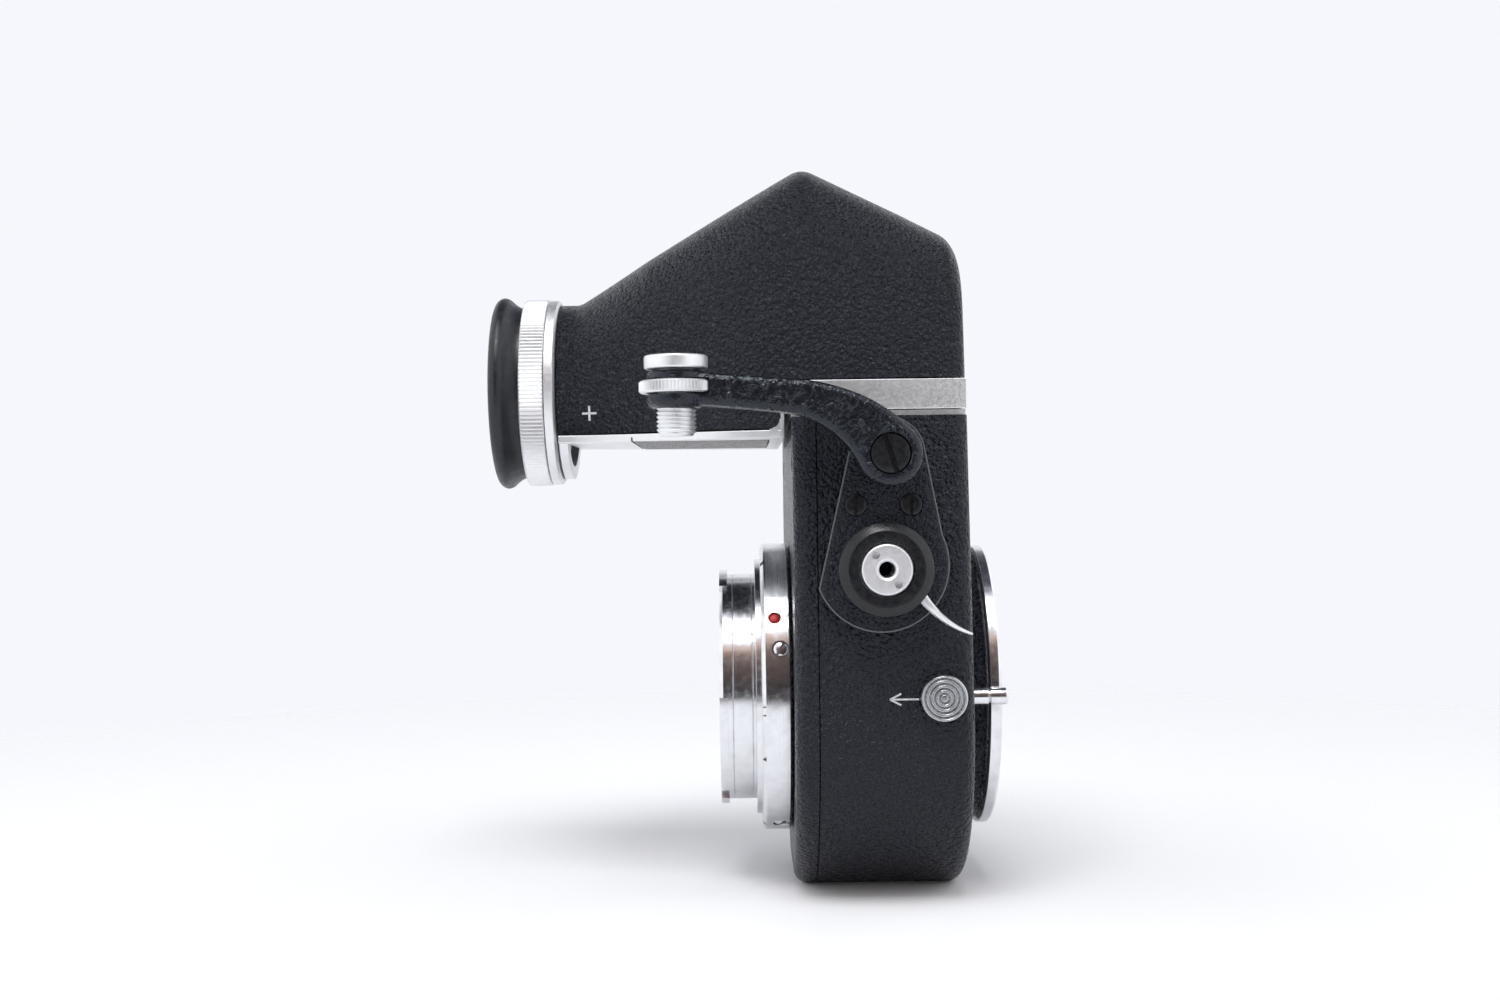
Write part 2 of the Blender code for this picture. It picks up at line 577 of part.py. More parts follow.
def build_mechanism():
    low = arc((MODE_X - 0.45, MODE_Z + 0.6), 11.1, 200, 385, 22)
    top = arc((PIVOT_X, PIVOT_Z), 6.3, 15, 170, 12)
    cover = plate("mechanism_cover", low + top, 36.3, 38.1, ALONG_MINUS_Y, "black_enamel")
    bores = [cylinder("cover_arm_bore", 2.6, 30, 40, (PIVOT_X, 0, PIVOT_Z), ALONG_MINUS_Y),
             cylinder("cover_mode_bore", 2.5, 30, 40, (MODE_X, 0, MODE_Z), ALONG_MINUS_Y)]
    cut(cover, *bores)
    for index, (x, z) in enumerate(((-4.0, 67.9), (5.1, 67.9))):
        seat = cylinder(f"cover_screw_seat_{index}", 2.1, 37.4, 40, (x, 0, z), ALONG_MINUS_Y, steps=16)
        hole = cylinder(f"cover_screw_hole_{index}", 1.2, 34, 40, (x, 0, z), ALONG_MINUS_Y, steps=12)
        casting_hole = cylinder(f"casting_screw_hole_{index}", 1.2, 34.6, 38, (x, 0, z),
                                ALONG_MINUS_Y, steps=12)
        cut(cover, seat, hole)
        cut(bpy.data.objects["body_casting"], casting_hole)
        screw(f"mechanism_screw_{index + 1}", 1.8, 0.6, 0.8, 2.4, (x, -37.7, z), ALONG_MINUS_Y,
              "black_metal", 88)

    centre = (MODE_X, 0, MODE_Z)
    hub = turned("mode_lever", [(6.9, 39.7), (6.9, 38.4), (2.8, 38.4), (2.8, 39.7)], centre,
                 ALONG_MINUS_Y, "satin_chrome", steps=32)
    blade_outline = (quadratic((4.6, -1.4), (8.6, -7.9), (14.6, -10.45), 7)
                     + [(14.5, -10.9), (13.7, -11.0)]
                     + quadratic((13.7, -11.0), (8.6, -9.9), (4.0, -4.2), 7) + [(4.0, -4.2)])
    blade = plate("mode_blade", blade_outline, 38.4, 39.7, ALONG_MINUS_Y, None, centre)
    join(hub, blade)
    turned("mode_collar", [(6.4, 42.4), (7.75, 41.2), (7.75, 40.0), (4.5, 40.0), (4.5, 42.4)], centre,
           ALONG_MINUS_Y, "black_metal", steps=32)
    socket = turned("cable_socket", [(1.55, 42.6), (3.9, 42.6), (4.2, 42.3), (4.2, 41.0), (2.2, 40.7),
                                     (2.2, 34.0), (1.55, 34.0)], centre, ALONG_MINUS_Y,
                    "satin_chrome", steps=24)
    for index, angle in enumerate((-53, 127)):
        x = MODE_X + 3.0 * math.cos(math.radians(angle))
        z = MODE_Z + 3.0 * math.sin(math.radians(angle))
        cut(socket, cylinder(f"spanner_hole_{index}", 0.6, 41.8, 44, (x, 0, z), ALONG_MINUS_Y, steps=12))


def build_lens_lock():
    face = (LOCK_X, 0, LOCK_Z)
    turned("lens_lock_button", [(0, 38.2), (3.6, 38.2), (3.85, 37.95), (3.85, 36.3), (1.1, 36.3),
                                (1.1, 30.5), (0, 30.5)], face, ALONG_MINUS_Y, "satin_chrome", steps=24)
    slide = box("lens_lock_slide", (3.4, -32.9, 33.0), (11.9, -25.4, 38.4), "black_metal")
    stem_bore = cylinder("slide_stem_bore", 1.1 + GAP, 30, 34, face, ALONG_MINUS_Y, steps=16)
    pin_bore = cylinder("slide_pin_bore", 1.45 + GAP, 6, 14, (0, LOCK_PIN_Y, LOCK_PIN_Z), ALONG_X, steps=16)
    cut(slide, stem_bore, pin_bore)
    turned("lens_lock_pin", [(0, 22.1), (1.2, 22.1), (1.45, 21.85), (1.45, 6.4), (0, 6.4)],
           (0, LOCK_PIN_Y, LOCK_PIN_Z), ALONG_X, "bright_chrome", steps=20)
    wire("lens_lock_spring", helix(1.6, -12.3, 2.8, 6), 0.25, "spring_steel", ALONG_X,
         (0, -29.5, LOCK_Z))


# ---------------------------------------------------------------- rail and screen

def build_rail():
    outline = [(-30, 83.0), (30, 83.0), (30, 83.9), (20.0, 83.9), (21.2, 85.7), (-21.2, 85.7),
               (-20.0, 83.9), (-30, 83.9)]
    rail = plate("top_rail_plate", outline, -14.2, 15.2, ALONG_X, "satin_chrome")
    cut(rail, box("rail_window", (-12.7, -18.9, 82), (12.7, 18.9, 87)))
    box("focusing_screen", (-12.4, -18.6, 83.0), (12.4, 18.6, 84.4), "ground_glass")
    frame = box("screen_frame", (-12.4, -18.6, 84.7), (12.4, 18.6, 85.6), "matte_black")
    cut(frame, box("frame_window", (-11.4, -17.5, 84), (11.4, 17.5, 87)))


# ---------------------------------------------------------------- finder

def cover_half_width(x):
    """Half the finder's width: full over the housing, drawn in to the round neck."""
    t = min(max((x + 53.0) / 36.0, 0.0), 1.0)
    ease = t * t * (3 - 2 * t)
    return NECK_R + (27.4 - NECK_R) * (0.35 * t + 0.65 * ease)


def cover_top(x):
    """Height of the ridge line: up from the neck to the apex, down to the front shoulder."""
    if x < APEX_X:
        return max(APEX_Z - 0.585 * (APEX_X - x), EYE_AXIS_Z + NECK_R)
    return APEX_Z - 0.505 * (x - APEX_X)


def cover_section(x, inset, bottom_z, drop=0.0, squeeze=0.0, half_count=8):
    """One arched section of the prism cover, from the near bottom edge over to the far one."""
    neck = 1.0 - min(max((x + 53.0) / 14.0, 0.0), 1.0)
    width = cover_half_width(x) - inset - squeeze
    top = cover_top(x) - inset * 1.1 - drop
    shoulder = EYE_AXIS_Z + (1 - neck) * (top - EYE_AXIS_Z) * 0.42
    power = 2.0 / (2.0 + 0.75 * (1 - neck))
    arch = []
    for i in range(2 * half_count + 1):
        a = math.pi * i / (2 * half_count)
        y = -math.copysign(abs(math.cos(a)) ** power, math.cos(a)) * width
        z = shoulder + math.sin(a) ** power * (top - shoulder)
        arch.append((y, z))
    radius = NECK_R - inset
    low = []
    for i in range(4):
        z = bottom_z + (shoulder - bottom_z) * i / 4
        below = min(max(EYE_AXIS_Z - z, 0.0) / radius, 1.0)
        y = width * (1 - neck * (1 - math.sqrt(1 - below ** 2)))
        low.append((y, z))
    return [(-y, z) for y, z in low] + arch + [(y, z) for y, z in low[::-1]]


def loft(name, sections, finish):
    """A closed solid through sections with the same number of points."""
    bm = bmesh.new()
    rings = [[bm.verts.new((x, y, z)) for y, z in points] for x, points in sections]
    for first, second in zip(rings, rings[1:]):
        count = len(first)
        for i in range(count):
            j = (i + 1) % count
            bm.faces.new((first[i], first[j], second[j], second[i]))
    bmesh.ops.triangulate(bm, faces=bm.faces)
    bm.faces.new(rings[0])
    bm.faces.new(rings[-1][::-1])
    return place(name, mesh_from_bmesh(name, bm), finish)


def build_finder_cover():
    bottom = 81.2
    rear = [-55.2, -51.3, -46, -40, -33, -26, -19, -13, APEX_X]
    front = [-8.5, 13.3]
    sections = [(x, cover_section(x, 0, bottom)) for x in rear + front]
    for angle in (35, 65, 90):
        a = math.radians(angle)
        x = front[-1] + EDGE_ROUND * math.sin(a)
        round_in = EDGE_ROUND * (1 - math.cos(a))
        sections.append((x, cover_section(x, 0, bottom, drop=round_in * 1.2, squeeze=round_in)))
    cover = loft("finder_cover", sections, "black_enamel")
    inner = [(x, cover_section(x, 2.4, bottom - 3)) for x in [-57] + rear[1:] + front]
    hollow = loft("cover_hollow", inner, None)
    step = box("front_step", (-16.2, -30, 78), (20, 30, 89.6))
    cut(cover, hollow, step)


def build_finder_base():
    half = FINDER_HALF_WIDTH
    band = box("finder_base", (-15.8, -half, 84.2), (15.7, half, 89.3), "satin_chrome")
    groove = plate("rail_groove", [(-20.4, 84.0), (20.4, 84.0), (21.6, 86.1), (-21.6, 86.1)],
                   -15.0, 17, ALONG_X, None)
    wall = box("base_step_wall", (-15.9, -half, 79.6), (-14.95, half, 84.6))
    widths = [(x, cover_half_width(x) + 0.4) for x in (-54.4, -47, -41, -35, -29, -23, -15.9)]
    outline = [(x, -w) for x, w in widths] + [(x, w) for x, w in widths[::-1]]
    floor = plate("base_floor", outline, 79.6, 80.9, ALONG_Z, None)
    disc = cylinder("neck_disc", 16.0, -55.2, -53.6, (0, 0, EYE_AXIS_Z), ALONG_X, steps=48)
    disc_top = box("neck_disc_top", (-58, -20, 80.9), (-50, 20, 110))
    cut(disc, disc_top)
    join(band, wall, floor, disc)
    window = box("base_window", (-11.5, -17.4, 85), (11.5, 17.4, 92))
    spring_pocket = box("spring_pocket", (-8.4, 22.6, 84.0), (8.4, 27.2, 85.4))
    pad_pocket = plate("pad_pocket", rounded_rectangle((-41.9, -19.5), (-17.6, 19.5), 3.8), 79, 80.35,
                       ALONG_Z, None)
    neck_bore = cylinder("neck_bore", COLLAR_BORE_R, -56, -53.5, (0, 0, EYE_AXIS_Z), ALONG_X, steps=48)
    cut(band, groove, window, spring_pocket, pad_pocket, neck_bore)
    plate("base_pad", rounded_rectangle((-41.6, -19.2), (-17.9, 19.2), 3.5), 79.6, 80.05, ALONG_Z,
          "black_enamel")
    strip = [(-8.0, 84.95), (-8.0, 84.65), (-3, 84.65), (0, 84.35), (3, 84.65), (8.0, 84.65), (8.0, 84.95),
             (3, 84.95), (0, 84.65), (-3, 84.95)]
    plate("detent_spring", strip, -26.9, -22.9, ALONG_MINUS_Y, "spring_steel")


def build_optics():
    outline = [(-22.0, 92.0), (12.5, 92.0), (12.5, 110.5), (-11.0, 121.6), (-46.0, 101.5), (-46.0, 84.2)]
    prism = plate("prism", outline, -15.6, 15.6, ALONG_MINUS_Y, "glass")
    for vertex in prism.data.vertices:
        x = vertex.co.x / MM
        vertex.co.z *= 1.0 - 0.32 * min(max((-12.0 - x) / 34.0, 0.0), 1.0)
    seat = box("prism_seat", (-13.0, -19.5, 89.6), (13.0, 19.5, 91.7), "matte_black")
    cut(seat, box("seat_window", (-11.2, -15.0, 88), (11.2, 15.0, 93)))
    box("field_lens", (-11.1, -17.0, 86.4), (11.1, 17.0, 89.1), "glass", rounding=0.6, segments=1)


def build_eyepiece():
    centre = (0, 0, EYE_AXIS_Z)
    turned("eyepiece_collar", [(16.8, -55.5), (17.0, -55.7), (17.0, -57.2), (COLLAR_BORE_R, -57.2),
                               (COLLAR_BORE_R, -55.5)], centre, ALONG_X, "satin_chrome", steps=40)
    turned("diopter_ring", [(16.9, -57.5), (17.15, -57.75), (17.15, -61.6), (16.9, -61.9), (15.95, -61.9),
                            (15.95, -59.4), (14.3, -59.4), (14.3, -57.5)], centre, ALONG_X,
           "satin_chrome", steps=40)
    turned("ocular_cell", [(13.3, -55.6), (13.3, -64.2), (12.0, -64.2), (12.0, -55.6)], centre,
           ALONG_X, "black_metal", steps=32)
    turned("eye_lens", [(0, -59.2), (11.7, -59.7), (11.7, -61.0), (7.0, -61.7), (0, -61.9)],
           centre, ALONG_X, "glass", steps=24)
    turned("collective_lens", [(0, -56.0), (7.0, -56.2), (11.7, -56.9), (11.7, -58.0), (0, -58.0)],
           centre, ALONG_X, "glass", steps=24)
    turned("lens_spacer", [(11.7, -58.3), (11.7, -59.3), (11.2, -59.0), (11.2, -58.3)],
           centre, ALONG_X, "matte_black", steps=24)
    turned("lens_retaining_ring", [(11.7, -62.2), (11.7, -63.2), (10.2, -63.2), (10.2, -62.2)],
           centre, ALONG_X, "black_metal", steps=24)
    turned("eyecup", [(15.55, -60.7), (15.6, -62.7), (16.6, -64.1), (17.6, -65.3), (17.7, -66.0),
                      (17.2, -66.9), (16.2, -67.4), (15.2, -67.3), (13.9, -66.2), (11.6, -65.2),
                      (11.0, -65.1), (11.0, -64.5), (13.6, -64.5), (13.6, -60.7)],
           centre, ALONG_X, "black_plastic", steps=32)


clear_scene()
parts = new_collection(COLLECTION_NAME)
cutters = new_collection("cutters")
build_housing()
build_mounts()
build_mirror()
build_arm()
build_mechanism()
build_lens_lock()
build_rail()
build_finder_cover()
build_finder_base()
build_optics()
build_eyepiece()
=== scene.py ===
"""Looks for the mirror reflex housing with its 90 degree prism finder.

Lengths are in millimetres until a piece is shown, which turns them into metres.
X runs along the lens axis, -Y is the side with the release arm, Z is up.
"""
import math

import bmesh
import bpy
from mathutils import Matrix, Vector
from mathutils.bvhtree import BVHTree


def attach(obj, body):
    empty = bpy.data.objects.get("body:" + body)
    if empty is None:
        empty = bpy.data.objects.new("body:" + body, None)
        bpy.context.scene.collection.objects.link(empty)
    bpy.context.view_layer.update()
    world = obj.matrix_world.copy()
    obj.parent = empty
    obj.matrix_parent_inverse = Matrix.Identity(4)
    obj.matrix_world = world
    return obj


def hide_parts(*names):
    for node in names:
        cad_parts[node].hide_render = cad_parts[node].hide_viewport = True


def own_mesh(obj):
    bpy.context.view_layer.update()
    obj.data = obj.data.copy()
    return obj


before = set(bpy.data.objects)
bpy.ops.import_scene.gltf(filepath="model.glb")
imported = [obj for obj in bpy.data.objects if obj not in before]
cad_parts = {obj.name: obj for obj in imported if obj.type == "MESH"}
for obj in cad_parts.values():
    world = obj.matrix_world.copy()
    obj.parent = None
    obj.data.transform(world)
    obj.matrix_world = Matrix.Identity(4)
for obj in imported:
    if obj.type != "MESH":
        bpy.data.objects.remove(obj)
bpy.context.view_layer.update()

MM = 0.001

# Sizes and places shared with the CAD.
AXIS_Z = 34.8
LENS_CENTRE = (0, 0, AXIS_Z)
HALF_WIDTH = 36.0
BODY_TOP_Z = 82.7
BODY_FRONT_X = 14.65
BODY_REAR_X = -14.2
FRONT_TAPER = 0.0139
EDGE_ROUND = 2.5
WALL = 2.7
INNER_FRONT_X = 12.2
INNER_REAR_X = -12.95
INNER_TOP_Z = 80.2
LENS_FACE_X = 21.5
LENS_SCREW_R = 23.75
CAMERA_FACE_X = -20.6
CAMERA_BORE_R = 18.7
THROAT_R = 22.0
PIVOT_X, PIVOT_Z = 1.31, 76.17
PLUNGER_X, PLUNGER_Y = -33.1, -41.0
MODE_X, MODE_Z = 0.67, 57.4
PLATE_SCREW_XS, PLATE_SCREW_Z = (-4.0, 5.1), 67.9
LOCK_X, LOCK_Z = 10.16, 36.0
PIN_Y, PIN_Z = -27.3, 35.2
EYE_Z = 89.55
EYE_CENTRE = (0, 0, EYE_Z)
NECK_R = 16.1
NECK_X = -53.0
HOOD_HALF_WIDTH = 27.4
COLLAR_BORE_R = 13.65
DOT_R, DOT_X, DOT_Z = 25.0, -17.3, 47.95
SIDE_SCREW_R, SIDE_SCREW_X = 24.4, -16.4
SIDE_SCREW_Z, LOW_SCREW_Z = 42.9, 12.9

# Axis frames: the columns are where a shape's own x, y and z point.
ALONG_X = Matrix(((0, 0, 1), (1, 0, 0), (0, 1, 0)))
ALONG_MINUS_X = Matrix(((0, 0, -1), (-1, 0, 0), (0, 1, 0)))
ALONG_MINUS_Y = Matrix(((1, 0, 0), (0, 0, -1), (0, 1, 0)))
ALONG_Z = Matrix.Identity(3)


def clamp(value):
    """A value held between 0 and 1."""
    return min(max(value, 0.0), 1.0)


# ---- outlines

def arc(centre, radius, first_deg, last_deg, count):
    """Points along an arc, both ends included."""
    cx, cy = centre
    angles = [math.radians(first_deg + (last_deg - first_deg) * i / count) for i in range(count + 1)]
    return [(cx + radius * math.cos(a), cy + radius * math.sin(a)) for a in angles]


def quadratic(start, control, end, count):
    """Points along a bent edge, without its last point."""
    points = []
    for i in range(count):
        t = i / count
        weights = ((1 - t) ** 2, 2 * t * (1 - t), t ** 2)
        points.append(tuple(weights[0] * a + weights[1] * b + weights[2] * c
                            for a, b, c in zip(start, control, end)))
    return points


def housing_outline(inset, foot_z, top_z, count=96):
    """The housing's U shape in Y and Z: two sides, a round bottom and a flat foot."""
    radius = HALF_WIDTH - inset
    foot_angle = math.degrees(math.asin((AXIS_Z - foot_z) / radius))
    half = count // 2
    left = arc((0, AXIS_Z), radius, 180, 180 + foot_angle, half)
    right = arc((0, AXIS_Z), radius, 360 - foot_angle, 360, half)
    return [(-radius, top_z)] + left + right + [(radius, top_z)]


def inset_outline(outline, distance):
    """A closed outline moved inwards by a distance."""
    area = sum(a[0] * b[1] - b[0] * a[1] for a, b in zip(outline, outline[1:] + outline[:1]))
    turn = 1 if area > 0 else -1
    moved = []
    for i, point in enumerate(outline):
        here = Vector(point)
        before = (here - Vector(outline[i - 1])).normalized()
        after = (Vector(outline[(i + 1) % len(outline)]) - here).normalized()
        middle = (before + after).normalized()
        stretch = 1 / max(middle.dot(after), 0.5)
        moved.append((here.x - turn * middle.y * distance * stretch,
                      here.y + turn * middle.x * distance * stretch))
    return moved


def rounded(points, radius, segments=3):
    """A closed profile with its corners rounded, by less than the radius where an edge is short."""
    result = []
    for i, point in enumerate(points):
        here = Vector(point)
        before, after = Vector(points[i - 1]), Vector(points[(i + 1) % len(points)])
        size = min(radius, (before - here).length * 0.45, (after - here).length * 0.45)
        if here.x < 1e-6 or size < 1e-4:
            result.append(here)
            continue
        start = here + (before - here).normalized() * size
        end = here + (after - here).normalized() * size
        for step in range(segments + 1):
            t = step / segments
            result.append(start * (1 - t) ** 2 + here * 2 * t * (1 - t) + end * t ** 2)
    return result


# ---- solids, in millimetres

def link_new(name, mesh):
    """A new object in the scene, from a mesh, a light or a camera."""
    obj = bpy.data.objects.new(name, mesh)
    bpy.context.scene.collection.objects.link(obj)
    return obj


def make(bm, origin=(0, 0, 0), axes=ALONG_Z):
    """A working object from a bmesh, placed in the object's frame."""
    bmesh.ops.recalc_face_normals(bm, faces=bm.faces[:])
    mesh = bpy.data.meshes.new("work")
    bm.to_mesh(mesh)
    bm.free()
    mesh.transform(Matrix.Translation(Vector(origin)) @ axes.to_4x4())
    return link_new("work", mesh)


def bridge(bm, loops):
    """Join rings of vertices with faces, and cap both ends."""
    for first, second in zip(loops, loops[1:]):
        for i in range(len(first)):
            j = (i + 1) % len(first)
            bm.faces.new((first[i], first[j], second[j], second[i]))
    bm.faces.new(loops[0])
    bm.faces.new(loops[-1][::-1])


def skin(rings, origin=(0, 0, 0), axes=ALONG_Z):
    """A closed solid through rings of points, capped at both ends."""
    bm = bmesh.new()
    bridge(bm, [[bm.verts.new(point) for point in ring] for ring in rings])
    return make(bm, origin, axes)


def prism(outline, low, high, origin=(0, 0, 0), axes=ALONG_MINUS_Y):
    """A straight-sided solid between two heights."""
    return skin([[(x, y, z) for x, y in outline] for z in (low, high)], origin, axes)


def slab(outline, low, high, axes=ALONG_MINUS_Y, back=0.15, front=0.15, depth=None, steps=4):
    """A plate with rounded rims; front rounds the rim at its high face, and back the low one."""
    depth = depth or front
    rings = []
    for i in range(steps + 1):
        a = math.pi / 2 * i / steps
        edge = inset_outline(outline, back * (1 - math.sin(a)))
        rings.append([(x, y, low + back * (1 - math.cos(a))) for x, y in edge])
    for i in range(steps + 1):
        a = math.pi / 2 * i / steps
        edge = inset_outline(outline, front * (1 - math.cos(a)))
        rings.append([(x, y, high - depth * (1 - math.sin(a))) for x, y in edge])
    return skin(rings, axes=axes)


def block(low, high, rounding=0.0):
    """A block between two corners, its edges rounded."""
    bm = bmesh.new()
    middle = Matrix.Translation([(a + b) / 2 for a, b in zip(low, high)])
    size = Matrix.Diagonal((*(b - a for a, b in zip(low, high)), 1.0))
    bmesh.ops.create_cube(bm, size=1.0, matrix=middle @ size)
    if rounding:
        bmesh.ops.bevel(bm, geom=bm.edges[:], offset=rounding, segments=3, profile=0.5,
                        affect="EDGES", clamp_overlap=True)
    return make(bm)


def lathe(profile, origin=(0, 0, 0), axes=ALONG_X, steps=160, rounding=0.12, teeth=0, tooth=0.0,
          span=None):
    """A turned piece from (radius, height) points; teeth cut a straight knurl within span."""
    points = rounded([Vector(p) for p in profile], rounding)
    widest = max(p.x for p in points)
    if teeth:
        steps = teeth * 4
    bm = bmesh.new()
    loops = []
    for point in points:
        if point.x < 1e-6:
            loops.append([bm.verts.new((0, 0, point.y))])
            continue
        knurled = teeth and point.x > widest - 0.25 and span[0] <= point.y <= span[1]
        loop = []
        for i in range(steps):
            a = 2 * math.pi * i / steps
            radius = point.x - (tooth * abs(i % 4 - 2) / 2 if knurled else 0)
            loop.append(bm.verts.new((radius * math.cos(a), radius * math.sin(a), point.y)))
        loops.append(loop)
    if len(loops[0]) > 1:
        loops.append(loops[0])
    for first, second in zip(loops, loops[1:]):
        for i in range(steps):
            j = (i + 1) % steps
            if len(first) == 1:
                bm.faces.new((first[0], second[j], second[i]))
            elif len(second) == 1:
                bm.faces.new((first[i], first[j], second[0]))
            else:
                bm.faces.new((first[i], first[j], second[j], second[i]))
    return make(bm, origin, axes)


def drill(radius, low, high, origin=(0, 0, 0), axes=ALONG_MINUS_Y, steps=64):
    """A plain round cutter."""
    return prism(arc((0, 0), radius, 0, 360 - 360 / steps, steps - 1), low, high, origin, axes)


def combine(base, cuts=(), joins=()):
    """The base joined with some solids and cut by others."""
    for operation, others in (("UNION", joins), ("DIFFERENCE", cuts)):
        for other in others:
            modifier = base.modifiers.new(operation.lower(), "BOOLEAN")
            modifier.operation = operation
            modifier.object = other
            modifier.solver = "EXACT"
    graph = bpy.context.evaluated_depsgraph_get()
    mesh = bpy.data.meshes.new_from_object(base.evaluated_get(graph))
    for obj in (base, *cuts, *joins):
        bpy.data.objects.remove(obj, do_unlink=True)
    return link_new("work", mesh)


def show(name, obj, body, material, replaced=(), smooth_deg=32):
    """Turn a working object into a visible piece that rides on a body."""
    obj.name = name
    obj.data.name = name
    obj.data.transform(Matrix.Scale(MM, 4))
    obj.data.materials.clear()
    obj.data.materials.append(material)
    obj.data.shade_smooth()
    obj.data.set_sharp_from_angle(angle=math.radians(smooth_deg))
    weighted = obj.modifiers.new("weighted_normals", "WEIGHTED_NORMAL")
    weighted.keep_sharp = True
    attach(obj, body)
    if replaced:
        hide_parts(*replaced)
    return obj


def slotted_screw(head_r, height, origin, axes, slot_deg, slot_half, dome=0.0):
    """A round screw head with a slot; its own z axis points out of the surface."""
    profile = [(0, height + dome), (head_r * 0.55, height + dome * 0.75), (head_r, height), (head_r, 0),
               (0, 0)]
    head = lathe(profile, origin, axes, steps=96, rounding=head_r * 0.13)
    turn = Matrix.Rotation(math.radians(slot_deg), 3, "Z")
    reach = head_r * 1.3
    outline = [(-reach, -slot_half), (reach, -slot_half), (reach, slot_half), (-reach, slot_half)]
    return combine(head, [prism(outline, height * 0.45, height + dome + 1, origin, axes @ turn)])


# ---- materials

def feed(links, target, value):
    """Link a socket, or set a plain value."""
    if isinstance(value, bpy.types.NodeSocket):
        links.new(value, target)
    else:
        target.default_value = value


def colour_sockets(sockets):
    """The sockets that carry a colour."""
    return [socket for socket in sockets if socket.type == "RGBA"]


class Finish:
    """A procedural material, with its patterns laid out in millimetres."""

    def __init__(self, name, colour, roughness, metallic=0.0, coat=0.0, coat_roughness=0.1):
        self.material = bpy.data.materials.new(name)
        self.material.use_nodes = True
        self.nodes = self.material.node_tree.nodes
        self.links = self.material.node_tree.links
        self.shader = self.nodes["Principled BSDF"]
        self.set(self.shader, "Base Color", (*colour, 1.0))
        self.set(self.shader, "Roughness", roughness)
        self.set(self.shader, "Metallic", metallic)
        self.set(self.shader, "Coat Weight", coat)
        self.set(self.shader, "Coat Roughness", coat_roughness)
        place = self.nodes.new("ShaderNodeTexCoord")
        scale = self.nodes.new("ShaderNodeVectorMath")
        scale.operation = "SCALE"
        scale.inputs["Scale"].default_value = 1 / MM
        self.links.new(place.outputs["Object"], scale.inputs[0])
        self.place = scale.outputs[0]

    def set(self, node, name, value):
        node.inputs[name].default_value = value

    def noise(self, scale, detail=2.0, roughness=0.5, distortion=0.0, vector=None, kind="FBM"):
        node = self.nodes.new("ShaderNodeTexNoise")
        node.noise_type = kind
        self.links.new(vector or self.place, node.inputs["Vector"])
        self.set(node, "Scale", scale)
        self.set(node, "Detail", detail)
        self.set(node, "Roughness", roughness)
        self.set(node, "Distortion", distortion)
        return node.outputs[0]

    def cells(self, scale, vector):
        """Rounded cells, as the distance from each one's middle."""
        node = self.nodes.new("ShaderNodeTexVoronoi")
        node.feature = "SMOOTH_F1"
        self.links.new(vector, node.inputs["Vector"])
        self.set(node, "Scale", scale)
        return node.outputs["Distance"]

    def maths(self, operation, first, second=0.0, third=0.0):
        node = self.nodes.new("ShaderNodeMath")
        node.operation = operation
        for target, value in zip(node.inputs, (first, second, third)):
            feed(self.links, target, value)
        return node.outputs[0]

    def spread(self, value, low, high, to_low=0.0, to_high=1.0):
        """Map a value smoothly from one range to another."""
        node = self.nodes.new("ShaderNodeMapRange")
        node.interpolation_type = "SMOOTHSTEP"
        for target, item in zip(node.inputs, (value, low, high, to_low, to_high)):
            feed(self.links, target, item)
        return node.outputs[0]

    def warp(self, scale, amount):
        """The place pushed about by noise, so that patterns wander."""
        node = self.nodes.new("ShaderNodeTexNoise")
        self.links.new(self.place, node.inputs["Vector"])
        self.set(node, "Scale", scale)
        add = self.nodes.new("ShaderNodeVectorMath")
        add.operation = "MULTIPLY_ADD"
        self.links.new(node.outputs["Color"], add.inputs[0])
        add.inputs[1].default_value = (amount, amount, amount)
        self.links.new(self.place, add.inputs[2])
        return add.outputs[0]

    def axis(self, letter):
        node = self.nodes.new("ShaderNodeSeparateXYZ")
        self.links.new(self.place, node.inputs[0])
        return node.outputs[letter]

    def lines(self, letter, scale):
        """Fine turning marks that depend on one axis only."""
        node = self.nodes.new("ShaderNodeTexNoise")
        node.noise_dimensions = "1D"
        self.links.new(self.axis(letter), node.inputs["W"])
        self.set(node, "Scale", scale)
        self.set(node, "Detail", 3.0)
        return node.outputs[0]

    def bump(self, height, depth_mm):
        node = self.nodes.new("ShaderNodeBump")
        self.links.new(height, node.inputs["Height"])
        self.set(node, "Strength", 1.0)
        self.set(node, "Distance", depth_mm * MM)
        self.links.new(node.outputs[0], self.shader.inputs["Normal"])

    def tint(self, factor, first, second):
        """Mix the base colour between two colours."""
        node = self.nodes.new("ShaderNodeMix")
        node.data_type = "RGBA"
        feed(self.links, node.inputs["Factor"], factor)
        for target, colour in zip(colour_sockets(node.inputs), (first, second)):
            target.default_value = (*colour, 1.0)
        self.links.new(colour_sockets(node.outputs)[0], self.shader.inputs["Base Color"])

    def gloss(self, scale, detail, low, high, top=0.7):
        """Let the roughness vary in soft patches, from low to high."""
        patches = self.spread(self.noise(scale, detail), 0.3, top, low, high)
        self.links.new(patches, self.shader.inputs["Roughness"])


